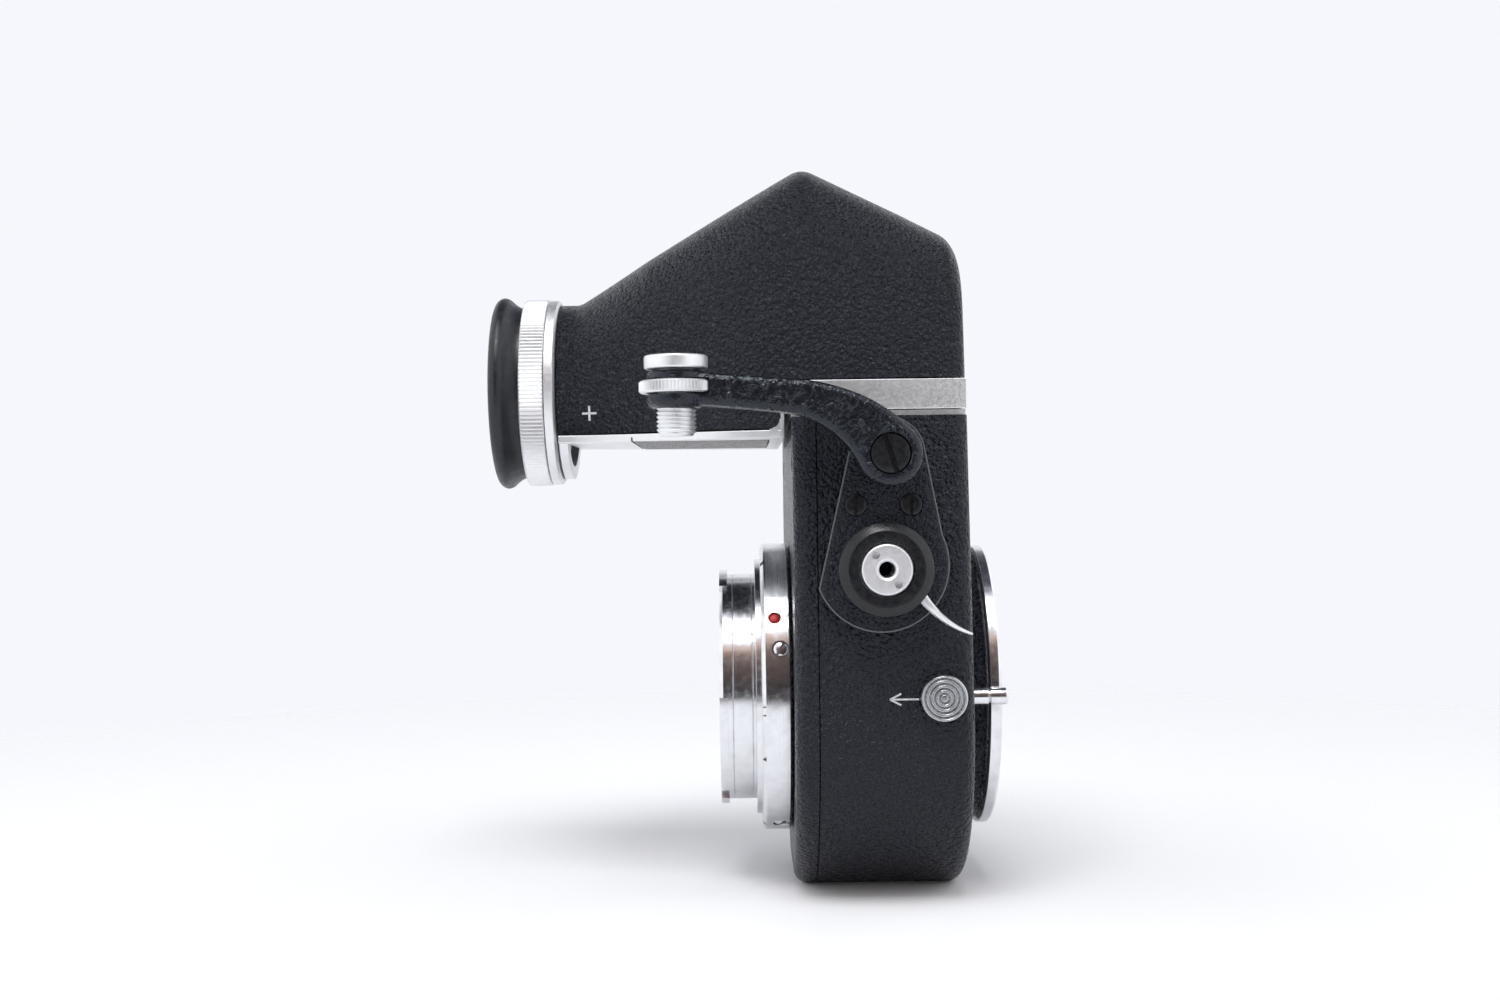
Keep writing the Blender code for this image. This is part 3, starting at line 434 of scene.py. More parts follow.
def wrinkle_enamel():
    """Black crackle enamel: small rounded grains run together into worm-like ridges."""
    finish = Finish("wrinkle_enamel", (0.009, 0.0098, 0.0125), 0.24)
    finish.set(finish.shader, "Specular IOR Level", 0.34)
    finish.set(finish.shader, "Specular Tint", (0.8, 0.85, 1.0, 1.0))
    place = finish.warp(0.9, 0.9)
    grains = finish.cells(1.5, place)
    ridges = finish.noise(1.25, 2.0, 0.55, 0.6, place, "RIDGED_MULTIFRACTAL")
    fine = finish.noise(2.8, 2.0)
    height = finish.maths("MULTIPLY_ADD", ridges, 0.45, finish.maths("MULTIPLY", grains, -0.9))
    height = finish.maths("MULTIPLY_ADD", fine, 0.5, height)
    finish.bump(height, 0.85)
    finish.gloss(0.8, 2.0, 0.22, 0.31)
    finish.tint(finish.spread(finish.noise(2.2, 2.0), 0.35, 0.7), (0.0052, 0.0055, 0.0085),
                (0.0105, 0.0112, 0.0162))
    return finish.material


def arm_lacquer():
    """Glossy black lacquer over a softly wrinkled casting."""
    finish = Finish("arm_lacquer", (0.007, 0.008, 0.0115), 0.18)
    finish.set(finish.shader, "Specular Tint", (0.8, 0.88, 1.0, 1.0))
    wrinkles = finish.noise(0.75, 2.0, 0.5, 1.2, finish.warp(0.6, 1.0), "RIDGED_MULTIFRACTAL")
    fine = finish.noise(3.4, 2.0)
    finish.bump(finish.maths("MULTIPLY_ADD", fine, 0.25, wrinkles), 0.32)
    finish.gloss(1.2, 2.0, 0.14, 0.26)
    return finish.material


def black_lacquer():
    """Smooth black lacquer, a little rubbed."""
    roughness, black = 0.3, (0.008, 0.0088, 0.011)
    finish = Finish("black_lacquer", black, roughness)
    finish.set(finish.shader, "Specular IOR Level", 0.4)
    finish.bump(finish.noise(2.6, 3.0), 0.03)
    finish.gloss(1.1, 3.0, roughness - 0.06, roughness + 0.1)
    finish.tint(finish.spread(finish.noise(0.9, 4.0), 0.55, 0.8), black, (0.022, 0.023, 0.026))
    return finish.material


def satin_chrome(name, shade, roughness):
    """Pearl chrome: a very fine even grain."""
    finish = Finish(name, (shade, shade + 0.01, shade + 0.03), roughness, 1.0)
    finish.bump(finish.noise(14.0, 2.0), 0.012)
    finish.gloss(1.6, 3.0, roughness - 0.04, roughness + 0.05)
    finish.tint(finish.noise(0.7, 3.0), (shade - 0.04, shade - 0.03, shade - 0.01),
                (shade + 0.04, shade + 0.05, shade + 0.07))
    return finish.material


def polished_chrome():
    """Turned and polished chrome with faint marks round the lens axis."""
    finish = Finish("polished_chrome", (0.78, 0.79, 0.82), 0.2, 1.0)
    finish.bump(finish.lines("X", 9.0), 0.012)
    finish.gloss(0.9, 4.0, 0.17, 0.28, 0.8)
    finish.tint(finish.spread(finish.noise(0.5, 4.0), 0.4, 0.8), (0.79, 0.8, 0.83), (0.7, 0.7, 0.72))
    return finish.material


def bare_metal(name, colour, roughness):
    """Machined bare metal with light streaks."""
    finish = Finish(name, colour, roughness, 1.0)
    finish.bump(finish.noise(5.0, 3.0), 0.01)
    finish.gloss(1.4, 3.0, roughness - 0.07, roughness + 0.1)
    finish.tint(finish.noise(0.8, 3.0), [value * 0.85 for value in colour], colour)
    return finish.material


def matte_paint(name, colour, roughness, grain_mm=0.02):
    """Flat paint or moulded plastic with a fine grain."""
    finish = Finish(name, colour, roughness)
    finish.bump(finish.noise(5.5, 3.0), grain_mm)
    finish.gloss(0.8, 2.0, roughness - 0.06, roughness + 0.08)
    lighter = [value * 1.5 for value in colour]
    finish.tint(finish.spread(finish.noise(1.5, 3.0), 0.4, 0.8), colour, lighter)
    return finish.material


def optical_glass():
    """Clear glass, very slightly uneven."""
    finish = Finish("optical_glass", (0.96, 0.98, 1.0), 0.03)
    finish.set(finish.shader, "Transmission Weight", 1.0)
    finish.set(finish.shader, "IOR", 1.5)
    finish.gloss(0.4, 2.0, 0.01, 0.04)
    return finish.material


ENAMEL = wrinkle_enamel()
ARM_LACQUER = arm_lacquer()
BLACK = black_lacquer()
SATIN = satin_chrome("satin_chrome", 0.84, 0.46)
BUTTON_SATIN = satin_chrome("button_satin", 0.55, 0.25)
# A lighter grey metal for the mechanism plate's rim: its colour is a painted highlight along the
# plate's edge.
PAINTED_RIM_HIGHLIGHT = bare_metal("painted_rim_highlight", (0.2, 0.205, 0.22), 0.45)
POLISHED = polished_chrome()
SPRING_STEEL = bare_metal("spring_steel", (0.56, 0.56, 0.57), 0.3)
BRASS = bare_metal("brass", (0.74, 0.54, 0.27), 0.3)
MIRROR = bare_metal("mirror_silver", (0.92, 0.93, 0.94), 0.08)
MATTE = matte_paint("matte_black", (0.008, 0.008, 0.009), 0.75)
PLASTIC = matte_paint("eyecup_plastic", (0.009, 0.011, 0.015), 0.4, 0.008)
RED = matte_paint("red_enamel", (0.62, 0.018, 0.02), 0.3, 0.004)
WHITE_FILL = matte_paint("engraving_fill", (0.55, 0.56, 0.58), 0.5, 0.004)
GLASS = optical_glass()
GROUND = matte_paint("ground_glass", (0.7, 0.72, 0.72), 0.6, 0.01)


# ---- housing

def housing_ring(x, inset):
    """The housing's outline as a ring of points at one depth."""
    return [(x, y, z) for y, z in housing_outline(inset, inset, BODY_TOP_Z)]


def lens_screw_places():
    """Y and Z of the four screws in the lens ring."""
    angles = [math.radians(degrees) for degrees in (45, 135, 225, 315)]
    return [(LENS_SCREW_R * math.cos(a), AXIS_Z + LENS_SCREW_R * math.sin(a)) for a in angles]


def cover_screw_places():
    """Y and Z of the four screws in the rear cover."""
    return [(-29.5, 75.5), (29.5, 75.5), (-24.5, 16.0), (24.5, 16.0)]


def rounded_rings(face_x, towards, rounding, steps=7):
    """Rings of the housing's outline that round it over at one face."""
    rings = []
    for i in range(steps + 1):
        a = math.pi / 2 * i / steps
        rings.append(housing_ring(face_x - towards * rounding * (1 - math.sin(a)),
                                  rounding * (1 - math.cos(a))))
    return rings


def build_housing():
    """The cast body, and the rear cover with its screws."""
    seam = [housing_ring(-10.2, 0.12), housing_ring(-10.16, 0.04), housing_ring(-10.08, 0)]
    casting = skin(seam + rounded_rings(BODY_FRONT_X, 1, EDGE_ROUND))
    for vertex in casting.data.vertices:
        if vertex.co.x > 0:
            vertex.co.x += 0.3 + (BODY_TOP_Z - vertex.co.z) * FRONT_TAPER
    boss = lathe([(0, 12.0), (24.75, 12.0), (24.75, 18.85), (0, 18.85)], LENS_CENTRE, rounding=0.35)
    inner_outline = housing_outline(WALL, WALL, INNER_TOP_Z)
    hollow = prism(inner_outline, -20, INNER_FRONT_X, axes=ALONG_X)
    throat = drill(THROAT_R, 11, 20, LENS_CENTRE, ALONG_X, 160)
    window = block((-9.5, -17.5, 79), (11.5, 17.5, 84))
    pin_hole = drill(1.75, 11, 20, (0, PIN_Y, PIN_Z), ALONG_X)
    slot = block((6.4, -38, LOCK_Z - 1.45), (LOCK_X + 1.45, -32, LOCK_Z + 1.45))
    arm_hole = drill(2.9, 30, 40, (PIVOT_X, 0, PIVOT_Z))
    mode_hole = drill(2.5, 30, 40, (MODE_X, 0, MODE_Z))
    holes = [drill(1.2, 34.6, 38, (x, 0, PLATE_SCREW_Z)) for x in PLATE_SCREW_XS]
    cuts = [hollow, throat, window, pin_hole, slot, arm_hole, mode_hole, *holes]
    casting = combine(casting, cuts, [boss])
    show("body_shell", casting, "housing", ENAMEL, ("body_casting",))

    lip = [housing_ring(-10.42, 0), housing_ring(-10.34, 0.04), housing_ring(-10.3, 0.12)]
    cover = skin(rounded_rings(BODY_REAR_X, -1, EDGE_ROUND)[::-1] + lip)
    recess = prism(inner_outline, INNER_REAR_X, -5, axes=ALONG_X)
    opening = drill(CAMERA_BORE_R, -16, -12, LENS_CENTRE, ALONG_X, 160)
    cover = combine(cover, [recess, opening])
    posts, holes = [], []
    for y, z in cover_screw_places():
        posts.append(drill(3.0, BODY_REAR_X + 0.5, -10.5, (0, y, z), ALONG_X))
        holes.append(drill(1.0, -16, -9, (0, y, z), ALONG_X))
        holes.append(drill(1.72, -16, BODY_REAR_X + 1.0, (0, y, z), ALONG_X))
    show("rear_shell", combine(cover, holes, posts), "housing", ENAMEL, ("rear_cover",))
    for index, (y, z) in enumerate(cover_screw_places()):
        slot_deg = 20 + 50 * index
        head = slotted_screw(1.6, 0.7, (BODY_REAR_X + 0.9, y, z), ALONG_MINUS_X, slot_deg, 0.2, 0.1)
        show(f"rear_screw_{index + 1}", head, "housing", BLACK,
             (f"rear_cover_screw_{index + 1}",))


# ---- camera and lens mounts

def radial_frame(y, z):
    """A frame whose z points away from the lens axis through the point (y, z)."""
    outward = Vector((0, y, z)).normalized()
    side = outward.cross(Vector((1, 0, 0)))
    return Matrix((Vector((1, 0, 0)), side, outward)).transposed()


def sector(inner_r, outer_r, middle_deg, half_deg, count=24):
    """A closed piece of a flat ring."""
    outer = arc((0, 0), outer_r, middle_deg - half_deg, middle_deg + half_deg, count)
    inner = arc((0, 0), inner_r, middle_deg + half_deg, middle_deg - half_deg, count)
    return outer + inner


def on_ring(radius, z):
    """The near-side Y of a point at height z on a ring round the lens axis."""
    return -math.sqrt(radius ** 2 - (z - AXIS_Z) ** 2)


def side_screw(name, z, replaced=()):
    """A domed screw in the camera ring's edge, at height z on the near side."""
    y = on_ring(SIDE_SCREW_R, z)
    lift = Vector((y, z - AXIS_Z)).normalized() * 0.45
    place = (SIDE_SCREW_X, y + lift.x, z + lift.y)
    head = slotted_screw(1.3, 1.25, place, radial_frame(y, z - AXIS_Z), 60, 0.2, 0.3)
    show(name, head, "housing", POLISHED, replaced)


def build_camera_mount():
    """The stepped camera ring with its dot and screws, and the bayonet tube with its lugs."""
    face = CAMERA_FACE_X
    step = face + 1.0
    floor = face + 3.1
    front = BODY_REAR_X - 0.12
    ring = lathe([(25.7, front), (26.3, front - 0.5), (26.3, step + 0.6), (25.7, step), (23.4, step),
                  (23.4, face), (21.0, face), (21.0, floor), (CAMERA_BORE_R, floor),
                  (CAMERA_BORE_R, front)], LENS_CENTRE, steps=256, rounding=0.1)
    dot_y = on_ring(DOT_R, DOT_Z)
    dot_axes = radial_frame(dot_y, DOT_Z - AXIS_Z)
    seats = [drill(1.12, 0, 4, (DOT_X, dot_y, DOT_Z), dot_axes)]
    for z in (SIDE_SCREW_Z, LOW_SCREW_Z):
        y = on_ring(SIDE_SCREW_R, z)
        seats.append(drill(1.42, 0, 4, (SIDE_SCREW_X, y, z), radial_frame(y, z - AXIS_Z)))
    # Marks in the rim: the angle and half the width of each, in degrees.
    marks = ((182.4, 0.45), (185.6, 0.45), (203, 1.2), (246, 1.0), (118, 1.2), (20, 2.2), (310, 1.2))
    notches = [prism(sector(25.5, 27, angle, half), step - 1, step + 0.6, LENS_CENTRE, ALONG_X)
               for angle, half in marks]
    ring = combine(ring, [*seats, *notches])
    show("camera_ring", ring, "housing", POLISHED, ("camera_flange_ring",))
    dot = lathe([(0, 1.35), (0.6, 1.3), (1.0, 1.05), (1.0, 0.05), (0, 0.05)], (DOT_X, dot_y, DOT_Z),
                dot_axes, steps=64)
    show("index_dot", dot, "housing", RED, ("flange_index_dot",))
    side_screw("side_screw", SIDE_SCREW_Z, ("flange_side_screw",))
    side_screw("side_screw_low", LOW_SCREW_Z)

    grooves = []
    for x in (-21.2, -24.63):
        grooves += [(20.7, x + 0.09), (20.5, x), (20.7, x - 0.09)]
    tube = lathe([(20.7, floor - 0.3), *grooves, (20.7, -26.4), (20.2, -27.0), (18.9, -27.0),
                  (18.4, -26.5), (18.4, floor - 0.3)], LENS_CENTRE, steps=256, rounding=0.05)
    lugs = [prism(sector(19.5, 21.5, angle, half), -27.0, -25.6, LENS_CENTRE, ALONG_X)
            for angle, half in ((197, 17), (100, 18), (10, 17), (262, 18))]
    show("bayonet_tube", combine(tube, joins=lugs), "housing", POLISHED,
         ("camera_bayonet",))


def build_lens_mount():
    """The lens ring with its three bayonet tabs and four screws."""
    face = LENS_FACE_X
    ring = lathe([(25.0, face), (25.5, face - 0.45), (25.5, 19.55), (25.1, 19.15), (THROAT_R, 19.15),
                  (THROAT_R, face)], LENS_CENTRE, steps=256, rounding=0.1)
    tabs = [prism(sector(20.7, 22.6, angle, 26), 19.15, 20.4, LENS_CENTRE, ALONG_X)
            for angle in (90, 210, 330)]
    cuts = []
    for y, z in lens_screw_places():
        cuts.append(drill(1.42, 20.6, 23, (0, y, z), ALONG_X))
        cuts.append(drill(1.1, 18, 21, (0, y, z), ALONG_X))
    show("lens_ring", combine(ring, cuts, tabs), "housing", POLISHED,
         ("lens_flange_ring",))
    for index, (y, z) in enumerate(lens_screw_places()):
        head = slotted_screw(1.2, 0.5, (20.9, y, z), ALONG_X, 30 + 80 * index, 0.16)
        show(f"lens_screw_{index + 1}", head, "housing", POLISHED,
             (f"lens_flange_screw_{index + 1}",))


# ---- release arm

def arm_outline():
    """The arm in X and Z, from its round head back to the fork."""
    fork_x = PLUNGER_X + 1.5
    upper = quadratic((fork_x, 89.8), (-19.0, 88.9), (-12.0, 88.2), 14)
    upper += quadratic((-12.0, 88.2), (-1.5, 86.5), (4.4, 80.4), 24)
    turn = arc((PIVOT_X, PIVOT_Z), 5.3, 50, -118, 60)
    lower = quadratic((-3.0, 73.0), (-6.0, 80.5), (-14.0, 82.8), 24)
    lower += quadratic((-14.0, 82.8), (-22.0, 83.9), (fork_x, 84.5), 14)
    return upper + turn + lower + [(fork_x, 84.5)]


def build_arm():
    """The release arm, and the adjustable plunger in its head."""
    plunger = (PLUNGER_X, PLUNGER_Y, 0)
    pivot = (PIVOT_X, 0, PIVOT_Z)
    arm = slab(arm_outline(), 38.7, 44.4, back=0.5, front=1.5, depth=1.1, steps=6)
    head = lathe([(0, 90.0), (4.9, 90.0), (4.9, 84.9), (4.0, 83.9), (0, 83.9)], plunger, ALONG_Z,
                 steps=128, rounding=0.9)
    cuts = [drill(6.4, 86.1, 88.75, plunger, ALONG_Z, 96), drill(3.45, 80, 93, plunger, ALONG_Z, 96),
            drill(3.38, 42.9, 46, pivot), drill(2.5, 36, 41.6, pivot), drill(1.6, 41, 43.5, pivot)]
    show("arm_lever", combine(arm, cuts, [head]), "arm", ARM_LACQUER, ("release_arm",))
    screw = slotted_screw(3.3, 1.0, (PIVOT_X, -43.2, PIVOT_Z), ALONG_MINUS_Y, -72, 0.42, 0.12)
    show("pivot_screw", screw, "arm", BLACK, ("arm_pivot_screw",))

    wheel = lathe([(3.55, 88.45), (5.7, 88.45), (6.05, 88.15), (6.05, 86.7), (5.7, 86.4), (3.55, 86.4)],
                  plunger, ALONG_Z, rounding=0.1, teeth=64, tooth=0.2, span=(86.65, 88.2))
    show("knurled_wheel", wheel, "wheel", SATIN, ("adjusting_wheel",), 25)
    show("threaded_spindle", threaded_spindle(plunger), "plunger", SATIN,
         ("plunger_spindle",), 40)
    cap = lathe([(0, 92.55), (4.9, 92.55), (5.2, 92.25), (5.2, 90.55), (5.0, 90.3), (2.75, 90.3),
                 (2.75, 91.05), (0, 91.05)], plunger, ALONG_Z, rounding=0.25)
    show("plunger_cap", cap, "plunger", SATIN, ("plunger_head",))


def threaded_spindle(origin):
    """A rod with a real single-start thread, smooth at both ends."""
    pitch, crest, depth = 0.7, 3.23, 0.3
    low, high = 79.46, 90.75
    around, rows = 64, int((high - low) / pitch * 8)
    rings = []
    for row in range(rows + 1):
        z = low + (high - low) * row / rows
        taper = min((z - low) / 0.6, 1.0, (high - z) / 1.2)
        ring = []
        for i in range(around):
            a = 2 * math.pi * i / around
            phase = (z / pitch + i / around) % 1.0
            cut = depth * (0.5 + 0.5 * math.cos(2 * math.pi * phase)) ** 1.5
            radius = crest - 0.6 * (1 - taper) - cut * taper
            ring.append((radius * math.cos(a), radius * math.sin(a), z))
        rings.append(ring)
    return skin(rings, origin)


# ---- side mechanism

def lever_blade(origin):
    """A domed ribbon that leaves the collar at its lower right and thins out to its tip."""
    count, base_half, tip_half = 40, 0.95, 0.22
    route = quadratic((4.6, -2.4), (7.9, -8.7), (14.0, -10.78), count) + [(14.0, -10.78)]
    rings = []
    for i, point in enumerate(route):
        before, after = Vector(route[max(i - 1, 0)]), Vector(route[min(i + 1, count)])
        along = (after - before).normalized()
        across = Vector((-along.y, along.x))
        half = base_half * (1 - i / count) + tip_half * i / count
        section = ((-1, 38.5), (-1, 39.2), (-0.6, 39.58), (0, 39.7), (0.6, 39.58), (1, 39.2),
                   (1, 38.5), (0.7, 38.4), (-0.7, 38.4))
        rings.append([(*(Vector(point) + across * half * side), depth) for side, depth in section])
    return skin(rings, origin, ALONG_MINUS_Y)


def plate_bores(pivot, mode):
    """Cutters for the two shafts and the two screws that pass through the mechanism plate."""
    bores = [drill(2.6, 30, 40, pivot), drill(2.5, 30, 40, mode)]
    for x in PLATE_SCREW_XS:
        place = (x, 0, PLATE_SCREW_Z)
        bores += [drill(1.88, 37.4, 40, place), drill(1.2, 34, 40, place)]
    return bores


def build_mechanism():
    """The teardrop plate on a rim whose lighter colour is a painted highlight, the mode lever with its
    collar, and the release socket.
    """
    pivot = (PIVOT_X, 0, PIVOT_Z)
    mode = (MODE_X, 0, MODE_Z)
    outline = arc((MODE_X - 0.45, MODE_Z + 0.6), 11.1, 200, 385, 90)
    outline += arc((PIVOT_X, PIVOT_Z), 6.3, 15, 170, 50)
    # A thin lighter ledge that shows round the plate's edge; its colour is a painted highlight on that
    # edge.
    rim = slab(outline, 36.3, 37.62, back=0.1, front=0.12)
    show("mechanism_highlight_rim", combine(rim, plate_bores(pivot, mode)), "housing", PAINTED_RIM_HIGHLIGHT)
    cover = slab(inset_outline(outline, 0.26), 36.3, 38.1, back=0.1, front=0.9, depth=0.45, steps=5)
    show("mechanism_plate", combine(cover, plate_bores(pivot, mode)), "housing", ENAMEL,
         ("mechanism_cover",))
    for index, x in enumerate(PLATE_SCREW_XS):
        head = slotted_screw(1.8, 0.55, (x, -37.7, PLATE_SCREW_Z), ALONG_MINUS_Y, 88, 0.24, 0.1)
        show(f"plate_screw_{index + 1}", head, "housing", BLACK,
             (f"mechanism_screw_{index + 1}",))

    ring = lathe([(6.9, 39.7), (6.9, 38.4), (2.8, 38.4), (2.8, 39.7)], mode, ALONG_MINUS_Y, steps=128)
    lever = combine(ring, joins=[lever_blade(mode)])
    show("selector_lever", lever, "mode", SATIN, ("mode_lever",))
    collar = lathe([(6.3, 42.4), (7.75, 41.2), (7.75, 40.0), (4.5, 40.0), (4.5, 42.4)], mode,
                   ALONG_MINUS_Y, rounding=0.2)
    show("selector_collar", collar, "mode", BLACK, ("mode_collar",))
    socket = lathe([(1.3, 42.2), (1.75, 42.6), (3.95, 42.6), (4.2, 42.35), (4.2, 41.0), (2.2, 40.7),
                    (2.2, 34.0), (1.3, 34.0)], mode, ALONG_MINUS_Y, steps=128, rounding=0.12)
    spots = []
    for angle in (-53, 127):
        x = MODE_X + 3.0 * math.cos(math.radians(angle))
        z = MODE_Z + 3.0 * math.sin(math.radians(angle))
        spots.append(drill(0.65, 41.2, 44, (x, 0, z)))
    show("release_socket", combine(socket, spots), "housing", SATIN, ("cable_socket",))


def coil(radius, wire_r, start, end, turns, origin, axes, per_turn=40):
    """A helical spring of round wire along its own z axis."""
    pitch = (end - start) / turns
    lean = math.atan2(pitch, 2 * math.pi * radius)
    rings = []
    for i in range(turns * per_turn + 1):
        a = 2 * math.pi * i / per_turn
        outward = Vector((math.cos(a), math.sin(a), 0))
        upward = Vector((math.sin(a) * math.sin(lean), -math.cos(a) * math.sin(lean), math.cos(lean)))
        middle = outward * radius + Vector((0, 0, start + pitch * i / per_turn))
        rings.append([middle + outward * u + upward * v
                      for u, v in arc((0, 0), wire_r, 0, 330, 11)])
    return skin(rings, origin, axes)


def build_lock_spring():
    """The lens lock's return spring, a coil that runs towards the rear wall."""
    wire = coil(radius=1.6, wire_r=0.25, start=-12.3, end=2.8, turns=6, origin=(0, -29.5, LOCK_Z),
                axes=ALONG_X)
    spring = show("lock_spring", wire, "housing", SPRING_STEEL, ("lens_lock_spring",))
    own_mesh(spring)


def build_lens_lock():
    """The grooved lock button and the pin it draws back."""
    grooves = []
    for radius in (0.8, 1.6, 2.4, 3.2):
        grooves += [(radius - 0.26, 38.2), (radius, 37.84), (radius + 0.26, 38.2)]
    button = lathe([(0, 38.2), *grooves, (3.65, 38.2), (3.85, 37.9), (3.85, 36.3), (1.1, 36.3),
                    (1.1, 30.5), (0, 30.5)], (LOCK_X, 0, LOCK_Z), ALONG_MINUS_Y, steps=128,
                   rounding=0.07)
    show("lock_button", button, "lens_lock", BUTTON_SATIN, ("lens_lock_button",))
    pin = lathe([(0, 22.1), (1.1, 22.1), (1.45, 21.75), (1.45, 19.1), (1.2, 19.0), (1.2, 18.8),
                 (1.45, 18.7), (1.45, 6.4), (0, 6.4)], (0, PIN_Y, PIN_Z), ALONG_X, steps=96,
                rounding=0.08)
    show("lock_pin", pin, "lens_lock", POLISHED, ("lens_lock_pin",))


# ---- finder

def cover_half_width(x):
    """Half the finder's width: full over the housing, drawn in to the round neck."""
    t = clamp((x - NECK_X) / 36.0)
    ease = t * t * (3 - 2 * t)
    return NECK_R + (HOOD_HALF_WIDTH - NECK_R) * (0.35 * t + 0.65 * ease)


def cover_top(x):
    """Height of the ridge line: up from the neck to the apex, down to the front shoulder."""
    apex_x, apex_z = -11.4, 129.25
    rise_slope, fall_slope, soften = 0.585, 0.505, 2.2
    rise = apex_z - rise_slope * (apex_x - x)
    fall = apex_z - fall_slope * (x - apex_x)
    gap = max(soften - abs(rise - fall), 0.0) / soften
    top = min(rise, fall) - gap * gap * soften * 0.25
    return max(top, EYE_Z + NECK_R)


def cover_section(x, inset, bottom_z, drop=0.0, squeeze=0.0):
    """One arched section of the prism cover, from the near bottom edge over to the far one."""
    half_count, low_count = 40, 8
    neck = 1.0 - clamp((x - NECK_X) / 14.0)
    width = cover_half_width(x) - inset - squeeze
    top = cover_top(x) - inset * 1.1 - drop
    shoulder = EYE_Z + (1 - neck) * (top - EYE_Z) * 0.42
    power = 2.0 / (2.0 + 0.75 * (1 - neck))
    arch = []
    for i in range(2 * half_count + 1):
        a = math.pi * i / (2 * half_count)
        y = -math.copysign(abs(math.cos(a)) ** power, math.cos(a)) * width
        z = shoulder + math.sin(a) ** power * (top - shoulder)
        arch.append((y, z))
    radius = NECK_R - inset
    low = []
    for i in range(low_count):
        z = bottom_z + (shoulder - bottom_z) * i / low_count
        below = clamp((EYE_Z - z) / radius)
        low.append((width * (1 - neck * (1 - math.sqrt(1 - below ** 2))), z))
    return [(x, -y, z) for y, z in low] + [(x, y, z) for y, z in arch + low[::-1]]


def build_finder():
    """The arched prism cover, hollow and open below, with its plus mark."""
    bottom = 81.2
    front_x = 13.3
    xs = [-55.2 + i for i in range(43)] + [-12.7, -12.2, -11.8, -11.4, -11.0, -10.6, -10.1, -9.4]
    xs += [-8.0 + 2.1 * i for i in range(10)] + [12.2, front_x]
    rings = [cover_section(x, 0, bottom) for x in xs]
    for angle in (12, 24, 36, 48, 60, 72, 82, 90):
        a = math.radians(angle)
        inward = EDGE_ROUND * (1 - math.cos(a))
        rings.append(cover_section(front_x + EDGE_ROUND * math.sin(a), 0, bottom, inward * 1.2, inward))
    outer = skin(rings)
    for vertex in outer.data.vertices:
        nearness = clamp((vertex.co.x - 6) / 9)
        vertex.co.x -= 0.018 * max(vertex.co.z - EYE_Z, 0.0) * nearness
    inner_xs = [-57, -52, -46, -42, -38, -33, -28, -23, -18, -14, -11.4, -5, 2, 8, 13.0]
    hollow = skin([cover_section(x, 2.4, bottom - 3) for x in inner_xs])
    step = block((-16.2, -30, 78), (20, 30, 89.6))
    corner = [(-18.0, 81.0)] + arc((-18.0, 83.0), 1.8, -90, 0, 12) + [(-16.0, 83.0), (-16.0, 81.0)]
    shell = combine(outer, [hollow, step, prism(corner, -30, 30)])
    marks = [((-50.7, 84.8), (-48.1, 84.8)), ((-49.4, 86.1), (-49.4, 83.5))]
    surface = surface_of(shell)
    show("prism_hood", shell, "finder", ENAMEL, ("finder_cover",))
    show("plus_mark", engraved(marks, surface, 0.38), "finder", WHITE_FILL)
    build_finder_base()


def build_finder_base():
    """The finder's chrome base, with the disc that holds the eyepiece."""
    half = 28.0
    band = block((-15.8, -half, 84.2), (15.7, half, 89.3), 0.12)
    groove = prism([(-20.4, 84.0), (20.4, 84.0), (21.6, 86.1), (-21.6, 86.1)], -15.0, 17, axes=ALONG_X)
    wall = block((-15.9, -half, 79.6), (-15.3, half, 84.6), 0.1)
    widths = [(x, cover_half_width(x) + 0.4) for x in (-54.9 + 1.3 * i for i in range(30))]
    widths.append((-15.9, half))
    outline = [(x, -w) for x, w in widths] + [(x, w) for x, w in widths[::-1]]
    floor = slab(outline, 79.6, 80.9, axes=ALONG_Z)
    disc = lathe([(0, -53.6), (16.0, -53.6), (16.0, -55.2), (0, -55.2)], EYE_CENTRE)
    disc = combine(disc, [block((-58, -20, 80.9), (-50, 20, 110))])
    window = block((-11.5, -17.4, 85), (11.5, 17.4, 92))
    spring_pocket = block((-8.4, 22.6, 84.0), (8.4, 27.2, 85.4))
    pad_room = block((-41.9, -19.5, 79), (-17.6, 19.5, 80.35))
    curve = arc((-17.8, 82.8), 1.7, -90, 0, 12)
    fillet = prism([(-15.6, 80.6), (-15.6, 82.8)] + curve[::-1] + [(-17.8, 80.6)], -half + 0.12,
                   half - 0.12)
    neck_bore = drill(COLLAR_BORE_R, -56, -53.5, EYE_CENTRE, ALONG_X, 160)
    cuts = [groove, window, spring_pocket, pad_room, neck_bore]
    base = combine(band, cuts, [wall, floor, disc, fillet])
    show("base_frame", base, "finder", SATIN, ("finder_base",))


def surface_of(obj, scale=1.0):
    """A search tree of an object's surface, in millimetres."""
    bm = bmesh.new()
    bm.from_mesh(obj.data)
    bmesh.ops.scale(bm, vec=(scale, scale, scale), verts=bm.verts)
    tree = BVHTree.FromBMesh(bm)
    bm.free()
    return tree


